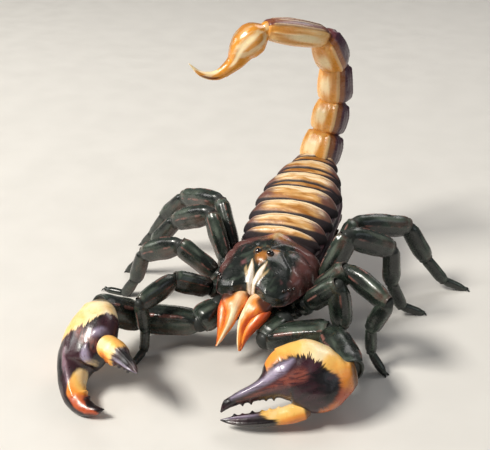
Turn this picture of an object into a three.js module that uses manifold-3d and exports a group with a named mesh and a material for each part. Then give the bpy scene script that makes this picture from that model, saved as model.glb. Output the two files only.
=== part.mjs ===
// A large desert burrowing scorpion, standing, with its tail curled over its back and its claws in front.
// Millimetres and degrees. The animal faces -Y, its left side is +X, and the floor is Z = 0.
import * as THREE from "three";
import Module from "manifold-3d";
import { mergeVertices } from "three/addons/utils/BufferGeometryUtils.js";

const wasm = await Module();
wasm.setup();

// Driving dimensions
const gap = 0.3; // clearance between two pieces that meet
const waistHeight = 18; // centre of the joint between carapace and back, above the floor
const carapaceLength = 22;
const carapacePitch = 3; // the front edge lies lower
const carapaceTurn = -5; // the head end looks a little to the animal's right
const backLength = 47;
const backPitch = 15; // the rear end is raised
const tergiteShares = [0.1, 0.12, 0.135, 0.15, 0.16, 0.165, 0.17]; // length of each back plate
const footHeight = 0.4; // centre of a foot's tip above the floor, less than the foot's thickness
const bodySides = 14;
const limbSides = 8;
const footSides = 6;

// Colour, roughness and metalness of each surface
const finish = {
  carapace: [0x2a1a18, 0.3],
  eye: [0x050505, 0.1],
  chelicera: [0xd8702a, 0.35],
  tergite: [0xb98546, 0.4],
  belly: [0x4a3430, 0.5],
  pectine: [0xc8a070, 0.5],
  tail: [0xd99a4c, 0.3],
  sting: [0x6a3010, 0.25],
  limb: [0x141815, 0.25],
  claw: [0xd08a30, 0.3],
};

// A direction from a heading (0 is forward, 90 is the animal's left) and an elevation above the floor
function direction(heading, elevation) {
  const h = THREE.MathUtils.degToRad(heading);
  const e = THREE.MathUtils.degToRad(elevation);
  return new THREE.Vector3(Math.sin(h) * Math.cos(e), -Math.cos(h) * Math.cos(e), Math.sin(e));
}

// A frame at a point: Y runs along the piece, Z is its upper side, and roll turns it about Y
function frameAt(origin, heading, elevation, roll = 0) {
  const along = direction(heading, elevation);
  const upper = direction(heading, elevation + 90).applyAxisAngle(along, THREE.MathUtils.degToRad(roll));
  const across = new THREE.Vector3().crossVectors(along, upper);
  return new THREE.Matrix4().makeBasis(across, along, upper).setPosition(origin);
}

// A closed body along a curve. Each section is [t, half width, height above, height below]; where the
// last is missing the body is as deep below as above. swell makes it larger all round.
function loft(curve, sections, { sides = limbSides, swell = 0 } = {}) {
  const rings = sections.length;
  const profile = [new THREE.Vector2(0, 0)];
  sections.forEach((_, i) => profile.push(new THREE.Vector2(1, i + 1)));
  profile.push(new THREE.Vector2(0, rings + 1));
  const geometry = new THREE.LatheGeometry(profile, sides);
  const position = geometry.getAttribute("position");
  const point = new THREE.Vector3();
  for (let i = 0; i < position.count; i++) {
    point.fromBufferAttribute(position, i);
    const row = THREE.MathUtils.clamp(Math.round(point.y) - 1, 0, rings - 1);
    const pole = Math.round(point.y) - 1 - row; // -1 at the start, 1 at the end, 0 on a ring
    const [t, halfWidth, above, below = above] = sections[row];
    const along = curve.getTangent(t);
    const across = new THREE.Vector3(along.y, -along.x, 0).normalize();
    const upper = new THREE.Vector3().crossVectors(across, along);
    const endShift = row === 0 ? -swell : row === rings - 1 ? swell : 0;
    const side = point.x * (halfWidth + swell);
    const rise = point.z * ((point.z > 0 ? above : below) + swell);
    const placed = curve.getPoint(t).addScaledVector(along, endShift);
    if (pole === 0) placed.addScaledVector(across, side).addScaledVector(upper, rise);
    position.setXYZ(i, placed.x, placed.y, placed.z);
  }
  return geometry;
}

// The straight axis of a piece, and a curved one through a few points
const straight = (length) => new THREE.LineCurve3(new THREE.Vector3(), new THREE.Vector3(0, length, 0));
const curved = (...points) => new THREE.CatmullRomCurve3(points.map((p) => new THREE.Vector3(...p)));

// Geometry placed by a frame, as a solid
function solidOf(geometry, frame = new THREE.Matrix4()) {
  const bare = geometry.clone().applyMatrix4(frame);
  bare.deleteAttribute("normal");
  bare.deleteAttribute("uv");
  const merged = mergeVertices(bare, 1e-3);
  const index = Array.from(merged.index.array);
  const kept = [];
  for (let i = 0; i < index.length; i += 3) {
    const [a, b, c] = index.slice(i, i + 3);
    if (a !== b && b !== c && c !== a) kept.push(a, b, c);
  }
  const mesh = new wasm.Mesh({
    numProp: 3,
    vertProperties: merged.getAttribute("position").array,
    triVerts: new Uint32Array(kept),
  });
  return new wasm.Manifold(mesh);
}

// A solid's triangles, seen from a frame
function geometryOf(solid, frame) {
  const { numProp, vertProperties, triVerts } = solid.getMesh();
  const geometry = new THREE.BufferGeometry();
  const positions = new Float32Array((vertProperties.length / numProp) * 3);
  for (let i = 0; i < positions.length / 3; i++) {
    positions.set(vertProperties.subarray(i * numProp, i * numProp + 3), i * 3);
  }
  geometry.setAttribute("position", new THREE.BufferAttribute(positions, 3));
  geometry.setIndex(new THREE.BufferAttribute(new Uint32Array(triVerts), 1));
  geometry.applyMatrix4(frame.clone().invert());
  geometry.computeVertexNormals();
  return geometry;
}

const joined = (solids) => solids.reduce((sum, next) => sum.add(next));
const largest = (solid) => solid.decompose().sort((a, b) => b.volume() - a.volume())[0];

// Every piece by name: its frame, its solid, and the same solid grown by the gap
const pieces = new Map();

// shapes is a list of [curve, sections, frame, options], which are joined to one solid
function addPiece(name, surface, frame, shapes) {
  const build = (swell) =>
    joined(
      shapes.map(([curve, sections, place = frame, options = {}]) =>
        solidOf(loft(curve, sections, { ...options, swell }), place),
      ),
    );
  pieces.set(name, { surface, frame, solid: build(0), grown: build(gap) });
}

// Makes room in a piece for its neighbours
function makeRoom(name, ...neighbours) {
  const piece = pieces.get(name);
  neighbours.forEach((other) => {
    piece.solid = largest(piece.solid.subtract(pieces.get(other).grown));
  });
}

function boxSolid(width, depth, height, frame) {
  return solidOf(new THREE.BoxGeometry(width, depth, height), frame);
}

// Body frames: the carapace runs forward from the waist, the back runs rearward from it
const waist = new THREE.Vector3(0, 0, waistHeight);
const carapaceFrame = frameAt(waist, carapaceTurn, -carapacePitch);
const backFrame = frameAt(waist, 180, backPitch);

// A point on the front part of the body: along it, out to the side (left is +1) and up
function atFront(side, along, out, up) {
  return new THREE.Vector3(-side * out, along, up).applyMatrix4(carapaceFrame);
}

// Carapace
const carapaceSections = [
  [0.01, 12.6, 6.6, 1.2],
  [0.06, 13.4, 7.4, 1.4],
  [0.3, 13.5, 8, 1.6],
  [0.55, 12.8, 7.6, 1.6],
  [0.8, 11.6, 6.2, 1.5],
  [0.95, 10.4, 4.8, 1.4],
  [1, 9.4, 3.6, 1],
];
const tubercleSections = [
  [0, 1.2, 0.8],
  [0.2, 2.2, 1.6],
  [0.6, 2.4, 1.8],
  [1, 1.2, 0.8],
];
const tubercleFrame = frameAt(atFront(1, 7, 0, 7.4), carapaceTurn, -carapacePitch - 5);
addPiece("carapace", "carapace", carapaceFrame, [
  [straight(carapaceLength), carapaceSections, carapaceFrame, { sides: bodySides }],
  [straight(7), tubercleSections, tubercleFrame, { sides: 6 }],
]);

// The front edge is notched in the middle
const notchRadius = 5;
const notch = new THREE.CylinderGeometry(notchRadius, notchRadius, 20, 10);
notch.rotateX(Math.PI / 2).translate(0, carapaceLength + notchRadius - 2.6, 0);
const carapace = pieces.get("carapace");
carapace.solid = carapace.solid.subtract(solidOf(notch, carapaceFrame));

// Median eyes on the tubercle
const eyeRadius = 1.1;
const eyeSections = [-0.98, -0.6, 0, 0.6, 0.98].map((x) => {
  const r = Math.sqrt(1 - x * x) * eyeRadius;
  return [(1 + x) / 2, r, r];
});
for (const [side, word] of [[1, "left"], [-1, "right"]]) {
  const centre = atFront(side, 10.4, 1.7, 8.5);
  const frame = frameAt(centre, 0, 0).multiply(new THREE.Matrix4().makeTranslation(0, -eyeRadius, 0));
  addPiece(`eye_${word}`, "eye", frame, [[straight(2 * eyeRadius), eyeSections]]);
}

// Chelicerae: a stout hand with a fixed finger, and a hooked moving finger outside and below it
const cheliceraTurn = { left: -21, right: -9 }; // they close in on each other towards the tips
const cheliceraDip = -34;
const cheliceraHand = [
  [0, 2.4, 2.3],
  [0.12, 3.4, 3.2],
  [0.4, 3.7, 3.5],
  [0.75, 3.1, 3.1],
  [1, 2, 2.2],
];
const cheliceraFixed = [
  [0, 2, 2],
  [0.4, 1.6, 1.6],
  [0.8, 0.9, 0.9],
  [1, 0.3, 0.3],
];
const cheliceraMoving = [
  [0, 1.5, 1.6],
  [0.25, 1.9, 1.9],
  [0.6, 1.4, 1.4],
  [0.85, 0.8, 0.8],
  [1, 0.3, 0.3],
];
for (const [side, word] of [[1, "left"], [-1, "right"]]) {
  const frame = frameAt(atFront(side, 20, 4.2, 1), cheliceraTurn[word], cheliceraDip);
  const inner = side; // local X of the midline side
  const fixedTip = curved([inner * 1.3, 7, 0.5], [inner * 1.5, 10.4, 0.2], [inner * 0.6, 14.6, -1.7]);
  const movingTip = curved([-inner * 1.8, 6.6, -0.9], [-inner * 1.9, 10.2, -1.3], [-inner * 0.6, 14.8, -2.9]);
  addPiece(`chelicera_${word}`, "chelicera", frame, [
    [straight(9.2), cheliceraHand],
    [fixedTip, cheliceraFixed],
  ]);
  addPiece(`chelicera_${word}_finger`, "chelicera", frame, [[movingTip, cheliceraMoving]]);
}

// Back plates over a soft belly: one body, parted along its sides and between the plates
const backSections = [
  [0, 12, 6.6, 5],
  [0.05, 12.8, 7.4, 5.8],
  [0.2, 13.6, 8, 6.2],
  [0.4, 13.9, 8.2, 6.4],
  [0.6, 13.2, 7.9, 6.2],
  [0.75, 11.2, 7.4, 5.8],
  [0.88, 8.9, 6.6, 5.3],
  [1, 6, 5.4, 4.8],
];
const backWhole = solidOf(loft(straight(backLength), backSections, { sides: bodySides }), backFrame);
const seamHeight = -0.8; // the plates' lower edge, in the back's frame
const inBack = (x, y, z) => backFrame.clone().multiply(new THREE.Matrix4().makeTranslation(x, y, z));
let plateStart = 0;
tergiteShares.forEach((share, i) => {
  const length = share * backLength;
  const middle = inBack(0, plateStart + length / 2, 20 + seamHeight + gap / 2);
  const space = boxSolid(60, length - gap, 40, middle);
  pieces.set(`tergite_${i + 1}`, { surface: "tergite", frame: backFrame, solid: backWhole.intersect(space) });
  plateStart += length;
});
const under = boxSolid(60, 2 * backLength, 40, inBack(0, 0, -20 + seamHeight - gap / 2));
pieces.set("belly", { surface: "belly", frame: backFrame, solid: backWhole.intersect(under) });

// Hips: [along, out, up] of each leg's first joint on the front part of the body
const hips = [
  [14, 12, -4.5],
  [9, 13.2, -4.5],
  [4, 14, -4.5],
  [-1.5, 14, -4.5],
];
const legScale = [0.88, 0.93, 1, 1.05];
const palpHip = [20.5, 9.5, -5];

// Underside of the front part: a keel of bases, one to each limb
const coxaSections = [
  [0, 2.7, 2.8],
  [1, 2.4, 2.5],
];
function baseTo(side, along, out, up) {
  const root = atFront(side, along - 2, 5, up - 1);
  const tip = atFront(side, along, out - 0.6, up);
  const axis = new THREE.LineCurve3(root, tip);
  return [axis, coxaSections, new THREE.Matrix4(), { sides: 4 }];
}
const breastSections = [
  [0, 8, 1.4, 4.6],
  [0.3, 9.5, 1.8, 5.4],
  [0.8, 8.5, 1.8, 5],
  [1, 6, 1.2, 3.4],
];
const breastFrame = frameAt(atFront(1, -2.5, 0, -4), carapaceTurn, -carapacePitch);
const bases = [1, -1].flatMap((side) => [...hips, palpHip].map((hip) => baseTo(side, ...hip)));
addPiece("coxosternum", "limb", breastFrame, [
  [straight(22), breastSections, breastFrame, { sides: 6 }],
  ...bases,
]);

// Combs under the body, behind the last legs
const combTeeth = 12;
const combLength = 13;
const combThickness = 1;
for (const [side, word] of [[1, "left"], [-1, "right"]]) {
  const outline = new THREE.Shape();
  outline.moveTo(0, 0).lineTo(combLength, 0.6);
  const pitch = combLength / combTeeth;
  for (let i = combTeeth; i > 0; i--) {
    outline.lineTo(i * pitch - 0.1, 3.4).lineTo((i - 0.5) * pitch, 3.4).lineTo((i - 0.6) * pitch, 2);
  }
  const comb = new THREE.ExtrudeGeometry(outline, { depth: combThickness, bevelEnabled: false });
  const tilt = new THREE.Matrix4().makeRotationZ(THREE.MathUtils.degToRad(side > 0 ? 25 : 155));
  const flip = new THREE.Matrix4().makeRotationX(side > 0 ? 0 : Math.PI);
  const frame = inBack(side * 1.6, 4, -8.6).multiply(tilt).multiply(flip);
  pieces.set(`pectine_${word}`, { surface: "pectine", frame, solid: solidOf(comb, frame) });
}

// Tail: each length, its half width and half depth, heading and elevation; past 90 it leans forward
const tail = [
  { length: 10.5, width: 6.5, depth: 5.9, heading: 150, elevation: 70 },
  { length: 10.5, width: 5.6, depth: 5.3, heading: 150, elevation: 72 },
  { length: 12, width: 5.3, depth: 5.1, heading: 150, elevation: 90 },
  { length: 13.5, width: 5, depth: 4.8, heading: 165, elevation: 129 },
  { length: 20, width: 4.5, depth: 4.1, heading: 132, elevation: 168 },
];
const tailSections = (w, d) => [
  [0, 0.55 * w, 0.55 * d],
  [0.08, 0.84 * w, 0.84 * d],
  [0.3, 0.97 * w, 0.95 * d],
  [0.6, w, d],
  [0.86, 0.97 * w, 0.99 * d],
  [1, 0.74 * w, 0.78 * d],
];
const joint = new THREE.Vector3(0, backLength, 1).applyMatrix4(backFrame);
tail.forEach(({ length, width, depth, heading, elevation }, i) => {
  const frame = frameAt(joint, heading, elevation);
  addPiece(`metasoma_${i + 1}`, "tail", frame, [[straight(length), tailSections(width, depth)]]);
  joint.set(0, length, 0).applyMatrix4(frame);
});

// Telson: a swollen vesicle and the sting that curves back over it
const telsonFrame = frameAt(joint, 121, 212);
const vesicleSections = [
  [0, 2.6, 2.5],
  [0.07, 3.8, 3.7],
  [0.18, 4.9, 4.7],
  [0.32, 5.2, 5],
  [0.45, 4.8, 4.6],
  [0.6, 3.8, 3.6],
  [0.78, 2.6, 2.5],
  [1, 1.8, 1.8],
];
addPiece("telson_vesicle", "tail", telsonFrame, [
  [curved([0, 0, 0], [0, 5, -0.1], [0, 9, 0.8], [0, 13, 2.6], [0, 17.6, 3.2]), vesicleSections],
]);
const stingSections = [
  [0, 1.7, 1.7],
  [0.3, 1.4, 1.4],
  [0.7, 0.8, 0.8],
  [1, 0.3, 0.3],
];
addPiece("telson_aculeus", "sting", telsonFrame, [
  [curved([0, 18, 3.2], [0, 21.2, 2], [0, 23.4, -0.4], [0, 24.6, -4.9]), stingSections],
]);

// Pedipalps: lengths, then the pose of each arm as [heading, elevation, roll] for every length
const palpLengths = [7, 17, 15.5, 19.5];
const palpPose = {
  left: [[-30, -27, 0], [95, 14, 0], [33, -2, 0], [-64, -8, -50]],
  right: [[-40, -28, 0], [-87, -5, 0], [-34, 33, 0], [15, -25, 38]],
};
const fixedFinger = {
  root: { left: [1.2, 14.5], right: [3.6, 14.5] },
  length: 19,
  droop: { left: 1, right: 4 },
  turn: { left: 28, right: 68 },
};
const movingFinger = {
  root: { left: [-7, 14.2], right: [-6.8, 13.4] },
  length: 19,
  droop: { left: 1.5, right: 1 },
  turn: { left: -22, right: -18 },
  opening: { left: 6, right: 46 },
};
const palpSections = {
  trochanter: [
    [0, 2.2, 2.2],
    [0.25, 3.2, 3.2],
    [0.7, 3.8, 3.9],
    [1, 2.8, 2.8],
  ],
  femur: [
    [0, 2.2, 2.2],
    [0.12, 3.2, 3.2],
    [0.5, 3.6, 3.8],
    [0.85, 3.7, 3.9],
    [1, 2.8, 2.9],
  ],
  patella: [
    [0, 2.4, 2.4],
    [0.12, 3.6, 3.4],
    [0.45, 4.3, 4.1],
    [0.85, 4, 3.9],
    [1, 2.8, 2.8],
  ],
  manus: [
    [0, 2.6, 2.4],
    [0.08, 4.6, 3.9],
    [0.28, 7.4, 5.3],
    [0.52, 8.6, 5.9],
    [0.78, 8, 5.3],
    [0.94, 6.4, 4],
    [1, 5, 3],
  ],
  fixedFinger: [
    [0, 4, 3.2],
    [0.2, 3.6, 3],
    [0.5, 2.5, 2.3],
    [0.8, 1.6, 1.5],
    [0.95, 0.9, 0.9],
    [1, 0.4, 0.4],
  ],
  movingFinger: [
    [0, 1.9, 1.8],
    [0.1, 2.7, 2.4],
    [0.35, 2.6, 2.3],
    [0.6, 2, 1.8],
    [0.85, 1.3, 1.2],
    [0.96, 0.8, 0.8],
    [1, 0.4, 0.4],
  ],
};

// A finger's axis: an arc from its root that turns by turn degrees. Its start angle is measured from the
// claw's axis towards the moving finger's side, and its tip droops below the claw's plane.
function fingerArc({ root, length, droop, turn }, word, startAngle) {
  const steps = 4;
  const points = [[...root[word], 0]];
  for (let i = 0; i < steps; i++) {
    const angle = THREE.MathUtils.degToRad(startAngle + (turn[word] * (i + 0.5)) / steps);
    const [x, y] = points[i];
    const sunk = -droop[word] * ((i + 1) / steps) ** 2;
    points.push([x - (Math.sin(angle) * length) / steps, y + (Math.cos(angle) * length) / steps, sunk]);
  }
  return curved(...points);
}
for (const [side, word] of [[1, "left"], [-1, "right"]]) {
  const start = atFront(side, ...palpHip);
  ["trochanter", "femur", "patella"].forEach((part, i) => {
    const frame = frameAt(start, ...palpPose[word][i]);
    addPiece(`palp_${word}_${part}`, "limb", frame, [[straight(palpLengths[i]), palpSections[part]]]);
    start.set(0, palpLengths[i], 0).applyMatrix4(frame);
  });
  const frame = frameAt(start, ...palpPose[word][3]);
  const fixedAxis = fingerArc(fixedFinger, word, 0);
  const movingAxis = fingerArc(movingFinger, word, movingFinger.opening[word]);
  addPiece(`palp_${word}_manus`, "claw", frame, [
    [straight(palpLengths[3]), palpSections.manus],
    [fixedAxis, palpSections.fixedFinger],
  ]);
  addPiece(`palp_${word}_finger`, "claw", frame, [[movingAxis, palpSections.movingFinger]]);
}

// Legs: lengths of femur, patella, tibia, basitarsus and tarsus, from the first pair to the last
const legLengths = [
  [15, 12.5, 9, 6.5, 6],
  [16.5, 14.5, 10.5, 7.5, 6.5],
  [18, 16, 11.5, 9, 7],
  [20, 18.5, 12.5, 10, 7.5],
];
// Pose of each leg: headings of femur, patella and foot, then elevations of femur, patella, tibia and
// basitarsus. The tarsus reaches down to the floor from there.
const legPose = {
  left: [
    [[78, 95, -5], [44, -83, -52, -20]],
    [[75, 60, 65], [50, -15, -115, -85]],
    [[125, 130, 115], [65, -25, -85, -65]],
    [[165, 125, 105], [35, -10, -60, -50]],
  ],
  right: [
    [[-50, -25, -10], [25, -10, -100, -80]],
    [[-90, -100, -95], [35, -25, -70, -55]],
    [[-130, -110, -90], [55, -25, -50, -52]],
    [[-140, -120, -105], [45, -15, -45, -55]],
  ],
};
const legSections = {
  femur: [
    [0, 1.8, 2.1],
    [0.12, 2.5, 3],
    [0.22, 2, 2.4],
    [0.45, 2.2, 3.2],
    [0.9, 2.2, 3.2],
    [1, 1.5, 2],
  ],
  patella: [
    [0, 1.5, 1.8],
    [0.1, 2.2, 2.8],
    [0.45, 2.3, 3.3],
    [0.85, 2.1, 2.9],
    [1, 1.4, 1.9],
  ],
  tibia: [
    [0, 1.3, 1.6],
    [0.15, 1.9, 2.4],
    [0.8, 1.8, 2.5],
    [1, 1.3, 1.6],
  ],
  basitarsus: [
    [0, 1.2, 1.5],
    [0.8, 1.4, 1.8],
    [1, 1, 1.2],
  ],
  tarsus: [
    [0, 0.8, 0.9],
    [0.2, 1.2, 1.3],
    [0.8, 1.1, 1.2],
    [1, 0.6, 0.8],
  ],
};
const scaled = (sections, k) => sections.map(([t, ...sizes]) => [t, ...sizes.map((s) => s * k)]);
for (const [side, word] of [[1, "left"], [-1, "right"]]) {
  legPose[word].forEach(([headings, elevations], i) => {
    const lengths = legLengths[i];
    const start = atFront(side, ...hips[i]);
    const frames = lengths.map((length, k) => {
      const drop = THREE.MathUtils.clamp((footHeight - start.z) / length, -1, 1);
      const elevation = k < 4 ? elevations[k] : THREE.MathUtils.radToDeg(Math.asin(drop));
      const frame = frameAt(start, headings[Math.min(k, 2)], elevation);
      start.set(0, length, 0).applyMatrix4(frame);
      return frame;
    });
    const shape = (part, k) => [
      straight(lengths[k]),
      scaled(legSections[part], legScale[i]),
      frames[k],
      { sides: k < 2 ? limbSides : footSides },
    ];
    const name = `leg_${word}_${i + 1}`;
    addPiece(`${name}_femur`, "limb", frames[0], [shape("femur", 0)]);
    addPiece(`${name}_patella`, "limb", frames[1], [shape("patella", 1)]);
    const footShapes = [shape("tibia", 2), shape("basitarsus", 3), shape("tarsus", 4)];
    addPiece(`${name}_foot`, "limb", frames[2], footShapes);
    const foot = pieces.get(`${name}_foot`);
    const floor = boxSolid(400, 400, 20, new THREE.Matrix4().makeTranslation(0, 0, -10));
    foot.solid = foot.solid.subtract(floor); // a small flat sole
  });
}

// Room for what meets: each piece gives way to the next one out
makeRoom("carapace", "eye_left", "eye_right");
for (const word of ["left", "right"]) {
  makeRoom(`chelicera_${word}`, `chelicera_${word}_finger`);
  makeRoom("carapace", `chelicera_${word}`);
  makeRoom("coxosternum", `chelicera_${word}`, `palp_${word}_trochanter`);
  makeRoom(`palp_${word}_trochanter`, `palp_${word}_femur`);
  makeRoom(`palp_${word}_trochanter`, `chelicera_${word}`, `chelicera_${word}_finger`);
  makeRoom(`palp_${word}_femur`, `palp_${word}_patella`);
  makeRoom(`palp_${word}_patella`, `palp_${word}_manus`);
  makeRoom(`palp_${word}_manus`, `palp_${word}_finger`);
  for (let i = 1; i <= 4; i++) {
    makeRoom("coxosternum", `leg_${word}_${i}_femur`);
    makeRoom("belly", `leg_${word}_${i}_femur`);
    makeRoom(`leg_${word}_${i}_femur`, `leg_${word}_${i}_patella`);
    makeRoom(`leg_${word}_${i}_patella`, `leg_${word}_${i}_foot`);
  }
}
makeRoom("tergite_1", "carapace");
makeRoom("belly", "carapace");
makeRoom("tergite_7", "metasoma_1");
makeRoom("belly", "metasoma_1", "coxosternum");
makeRoom("metasoma_1", "metasoma_2");
makeRoom("metasoma_2", "metasoma_3");
makeRoom("metasoma_3", "metasoma_4");
makeRoom("metasoma_4", "metasoma_5");
makeRoom("metasoma_5", "telson_vesicle");
makeRoom("telson_vesicle", "telson_aculeus");
makeRoom("carapace", "coxosternum");

// The scene: the origin is on the floor under the middle of the whole
const animal = new THREE.Group();
for (const [name, { surface, frame, solid }] of pieces) {
  const [color, roughness] = finish[surface];
  const material = new THREE.MeshStandardMaterial({ color, roughness, metalness: 0 });
  const mesh = new THREE.Mesh(geometryOf(solid, frame), material);
  mesh.name = name;
  mesh.applyMatrix4(frame);
  animal.add(mesh);
}
const extent = new THREE.Box3().setFromObject(animal, true);
const middle = extent.getCenter(new THREE.Vector3());
animal.position.set(-middle.x, -middle.y, -extent.min.z);

const scorpion = new THREE.Group();
scorpion.add(animal);

export default scorpion;
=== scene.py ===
# A large burrowing scorpion: its shell plates, jaws, claws, legs, combs, tail and sting.
# Sizes are millimetres and degrees in the animal's own frame. It faces -Y and its left side is +X.
import bpy
import math
import numpy as np
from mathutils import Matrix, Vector


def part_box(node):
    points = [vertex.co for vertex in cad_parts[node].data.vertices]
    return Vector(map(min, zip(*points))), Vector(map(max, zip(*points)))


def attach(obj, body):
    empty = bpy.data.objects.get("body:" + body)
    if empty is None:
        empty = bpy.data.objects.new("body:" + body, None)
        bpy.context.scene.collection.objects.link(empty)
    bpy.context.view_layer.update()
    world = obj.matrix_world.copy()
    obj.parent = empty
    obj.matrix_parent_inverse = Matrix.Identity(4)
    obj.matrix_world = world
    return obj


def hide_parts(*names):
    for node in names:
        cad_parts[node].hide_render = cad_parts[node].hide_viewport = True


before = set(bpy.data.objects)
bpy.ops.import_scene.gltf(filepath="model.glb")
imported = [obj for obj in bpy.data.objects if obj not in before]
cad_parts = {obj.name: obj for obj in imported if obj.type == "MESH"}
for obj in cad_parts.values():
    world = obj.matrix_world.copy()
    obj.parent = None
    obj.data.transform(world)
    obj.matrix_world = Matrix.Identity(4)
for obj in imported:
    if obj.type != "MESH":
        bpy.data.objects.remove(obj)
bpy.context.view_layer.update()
body = "root"
sideWords = {1: "left", -1: "right"}

# The body's stance, which every piece is built on
stance = {
    "waist": (0, 0, 18),
    "frontLength": 22,
    "frontPitch": 3,
    "frontTurn": -5,
    "backLength": 47,
    "backPitch": 15,
}


# Places and lines

def direction(heading, elevation):  # heading 0 is forward, 90 is the animal's left
    h, e = math.radians(heading), math.radians(elevation)
    return np.array([math.sin(h) * math.cos(e), -math.cos(h) * math.cos(e), math.sin(e)])


class Place:  # a local frame: X across, Y along the piece, Z its upper side
    def __init__(self, origin, basis):
        self.origin = np.array(origin, float)
        self.basis = basis

    def points(self, local):
        return self.origin + np.asarray(local, float) @ self.basis.T

    def vectors(self, local):
        return np.asarray(local, float) @ self.basis.T


def placeAt(origin, heading, elevation, roll=0):
    along, upper = direction(heading, elevation), direction(heading, elevation + 90)
    r = math.radians(roll)
    upper = upper * math.cos(r) + np.cross(along, upper) * math.sin(r)
    return Place(origin, np.column_stack([np.cross(along, upper), along, upper]))


frontPlace = placeAt(stance["waist"], stance["frontTurn"], -stance["frontPitch"])
backPlace = placeAt(stance["waist"], 180, stance["backPitch"])


def atFront(side, along, out, up):
    return frontPlace.points([-side * out, along, up])


# The frame's eyes say where the animal's own origin lies in the scene
eyeSpot = {"along": 10.4, "out": 1.7, "up": 8.5, "radius": 1.1}
eyeCentres = [(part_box(f"eye_{w}")[0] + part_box(f"eye_{w}")[1]) / 2 for w in sideWords.values()]
ownCentres = [atFront(s, eyeSpot["along"], eyeSpot["out"], eyeSpot["up"]) for s in sideWords]
shift = np.mean(np.array(eyeCentres), axis=0) - np.mean(ownCentres, axis=0) / 1000


floorGap = 0.00003  # metres that the lowest points keep above the floor


def toScene(points):  # own millimetres to metres in the frame, and nothing below the floor
    placed = np.asarray(points, float) / 1000 + shift
    placed[..., 2] = np.maximum(placed[..., 2], floorGap)
    return placed


def smoothRows(rows, t):  # rows of [t, value, ...] read at each t, with no overshoot between rows
    rows = np.array(rows, float)
    x, y = rows[:, 0], rows[:, 1:]
    h = np.diff(x)[:, None]
    slope = np.diff(y, axis=0) / h
    tangent = np.zeros_like(y)
    tangent[0], tangent[-1] = slope[0], slope[-1]
    same = slope[:-1] * slope[1:] > 0
    safe = np.where(same, slope[:-1], 1), np.where(same, slope[1:], 1)
    w1, w2 = 2 * h[1:] + h[:-1], h[1:] + 2 * h[:-1]
    tangent[1:-1] = np.where(same, (w1 + w2) / (w1 / safe[0] + w2 / safe[1]), 0)
    t = np.asarray(t, float)
    i = np.clip(np.searchsorted(x, t, side="right") - 1, 0, len(x) - 2)
    s = np.clip((t - x[i]) / (x[i + 1] - x[i]), 0, 1)[:, None]
    value = (1 + 2 * s) * (1 - s) ** 2 * y[i] + s * s * (3 - 2 * s) * y[i + 1]
    return value + h[i] * (s * (1 - s) ** 2 * tangent[i] - s * s * (1 - s) * tangent[i + 1])


def straight(length):
    def line(t):
        zero = np.zeros_like(t)
        return np.stack([zero, t * length, zero], 1), np.tile([0.0, 1.0, 0.0], (len(t), 1))
    return line


def through(*points):
    points = np.array(points, float)
    knots = np.vstack([2 * points[0] - points[1], points, 2 * points[-1] - points[-2]])
    last = len(points) - 1

    def at(t):
        s = np.clip(t, 0, 1) * last
        i = np.minimum(s.astype(int), last - 1)
        f = (s - i)[:, None]
        a, b, c, d = (knots[i + k] for k in range(4))
        curve = (2 * a - 5 * b + 4 * c - d) * f**2 + (3 * b - a - 3 * c + d) * f**3
        return 0.5 * (2 * b + (c - a) * f + curve)

    def line(t):
        t = np.clip(t, 0, 1)
        along = at(np.minimum(t + 0.002, 1)) - at(np.maximum(t - 0.002, 0))
        return at(t), along / np.linalg.norm(along, axis=1)[:, None]
    return line


def bell(x, centre, width):
    return np.exp(-(((x - centre) / width) ** 2))


def rise(x, low, high):  # smooth step from 0 at low to 1 at high
    s = np.clip((x - low) / (high - low), 0, 1)
    return s * s * (3 - 2 * s)


def turnTo(angle, centre):  # signed difference of two angles, in degrees
    return (np.degrees(angle) - centre + 180) % 360 - 180


def nearPath(x, y, path):  # distance in the XY plane to a line through points, and how far along it that is
    path = np.array(path, float)
    steps = np.linalg.norm(np.diff(path, axis=0), axis=1)
    start = np.concatenate([[0], np.cumsum(steps)])
    best, along = np.full(x.shape, 1e9), np.zeros(x.shape)
    for (x0, y0), (x1, y1), step, before in zip(path[:-1], path[1:], steps, start):
        s = np.clip(((x - x0) * (x1 - x0) + (y - y0) * (y1 - y0)) / step**2, 0, 1)
        away = np.hypot(x - x0 - s * (x1 - x0), y - y0 - s * (y1 - y0))
        along = np.where(away < best, (before + s * step) / start[-1], along)
        best = np.minimum(best, away)
    return best, along


def brush(x, y, path, widths, soft=0.3):  # 1 within a stroke along the path, 0 away from it
    away, along = nearPath(x, y, path)
    half = np.interp(along, np.linspace(0, 1, len(widths)), widths)
    return 1 - rise(away - half, -soft, soft)


def ripple(points, size, seed, waves=9):  # smooth irregular swell, mostly within -1 to 1, size is a wave
    random = np.random.default_rng(seed)
    total = 0
    for _ in range(waves):
        wave = random.normal(size=3)
        wave *= 2 * math.pi / (size * random.uniform(0.7, 1.6) * np.linalg.norm(wave))
        total = total + np.sin(points @ wave + random.uniform(0, 2 * math.pi))
    return total / (waves / 2)


# Closed shells

def domed(depth, steps=6):  # rings that round off an end: (scale, shift along the line)
    turns = [k / steps * math.pi / 2 for k in range(1, steps)]
    return [(math.cos(a), depth * math.sin(a)) for a in turns], depth


def rounded(front, rear, steps=6):  # both ends of a shell domed, each to its own depth
    return {"start": domed(front, steps), "end": domed(rear, steps)}


def cuffed(depth, lip=0.3):  # rings that turn an end inwards to a hollow
    rings = [(1.03, 0.35 * lip), (1.0, lip), (0.93, 1.05 * lip), (0.87, 0.6 * lip), (0.83, -0.35 * depth)]
    return rings + [(0.7, -0.85 * depth), (0.35, -depth)], -depth


beadPitch = 1.1  # from one granule of a keel to the next


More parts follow.
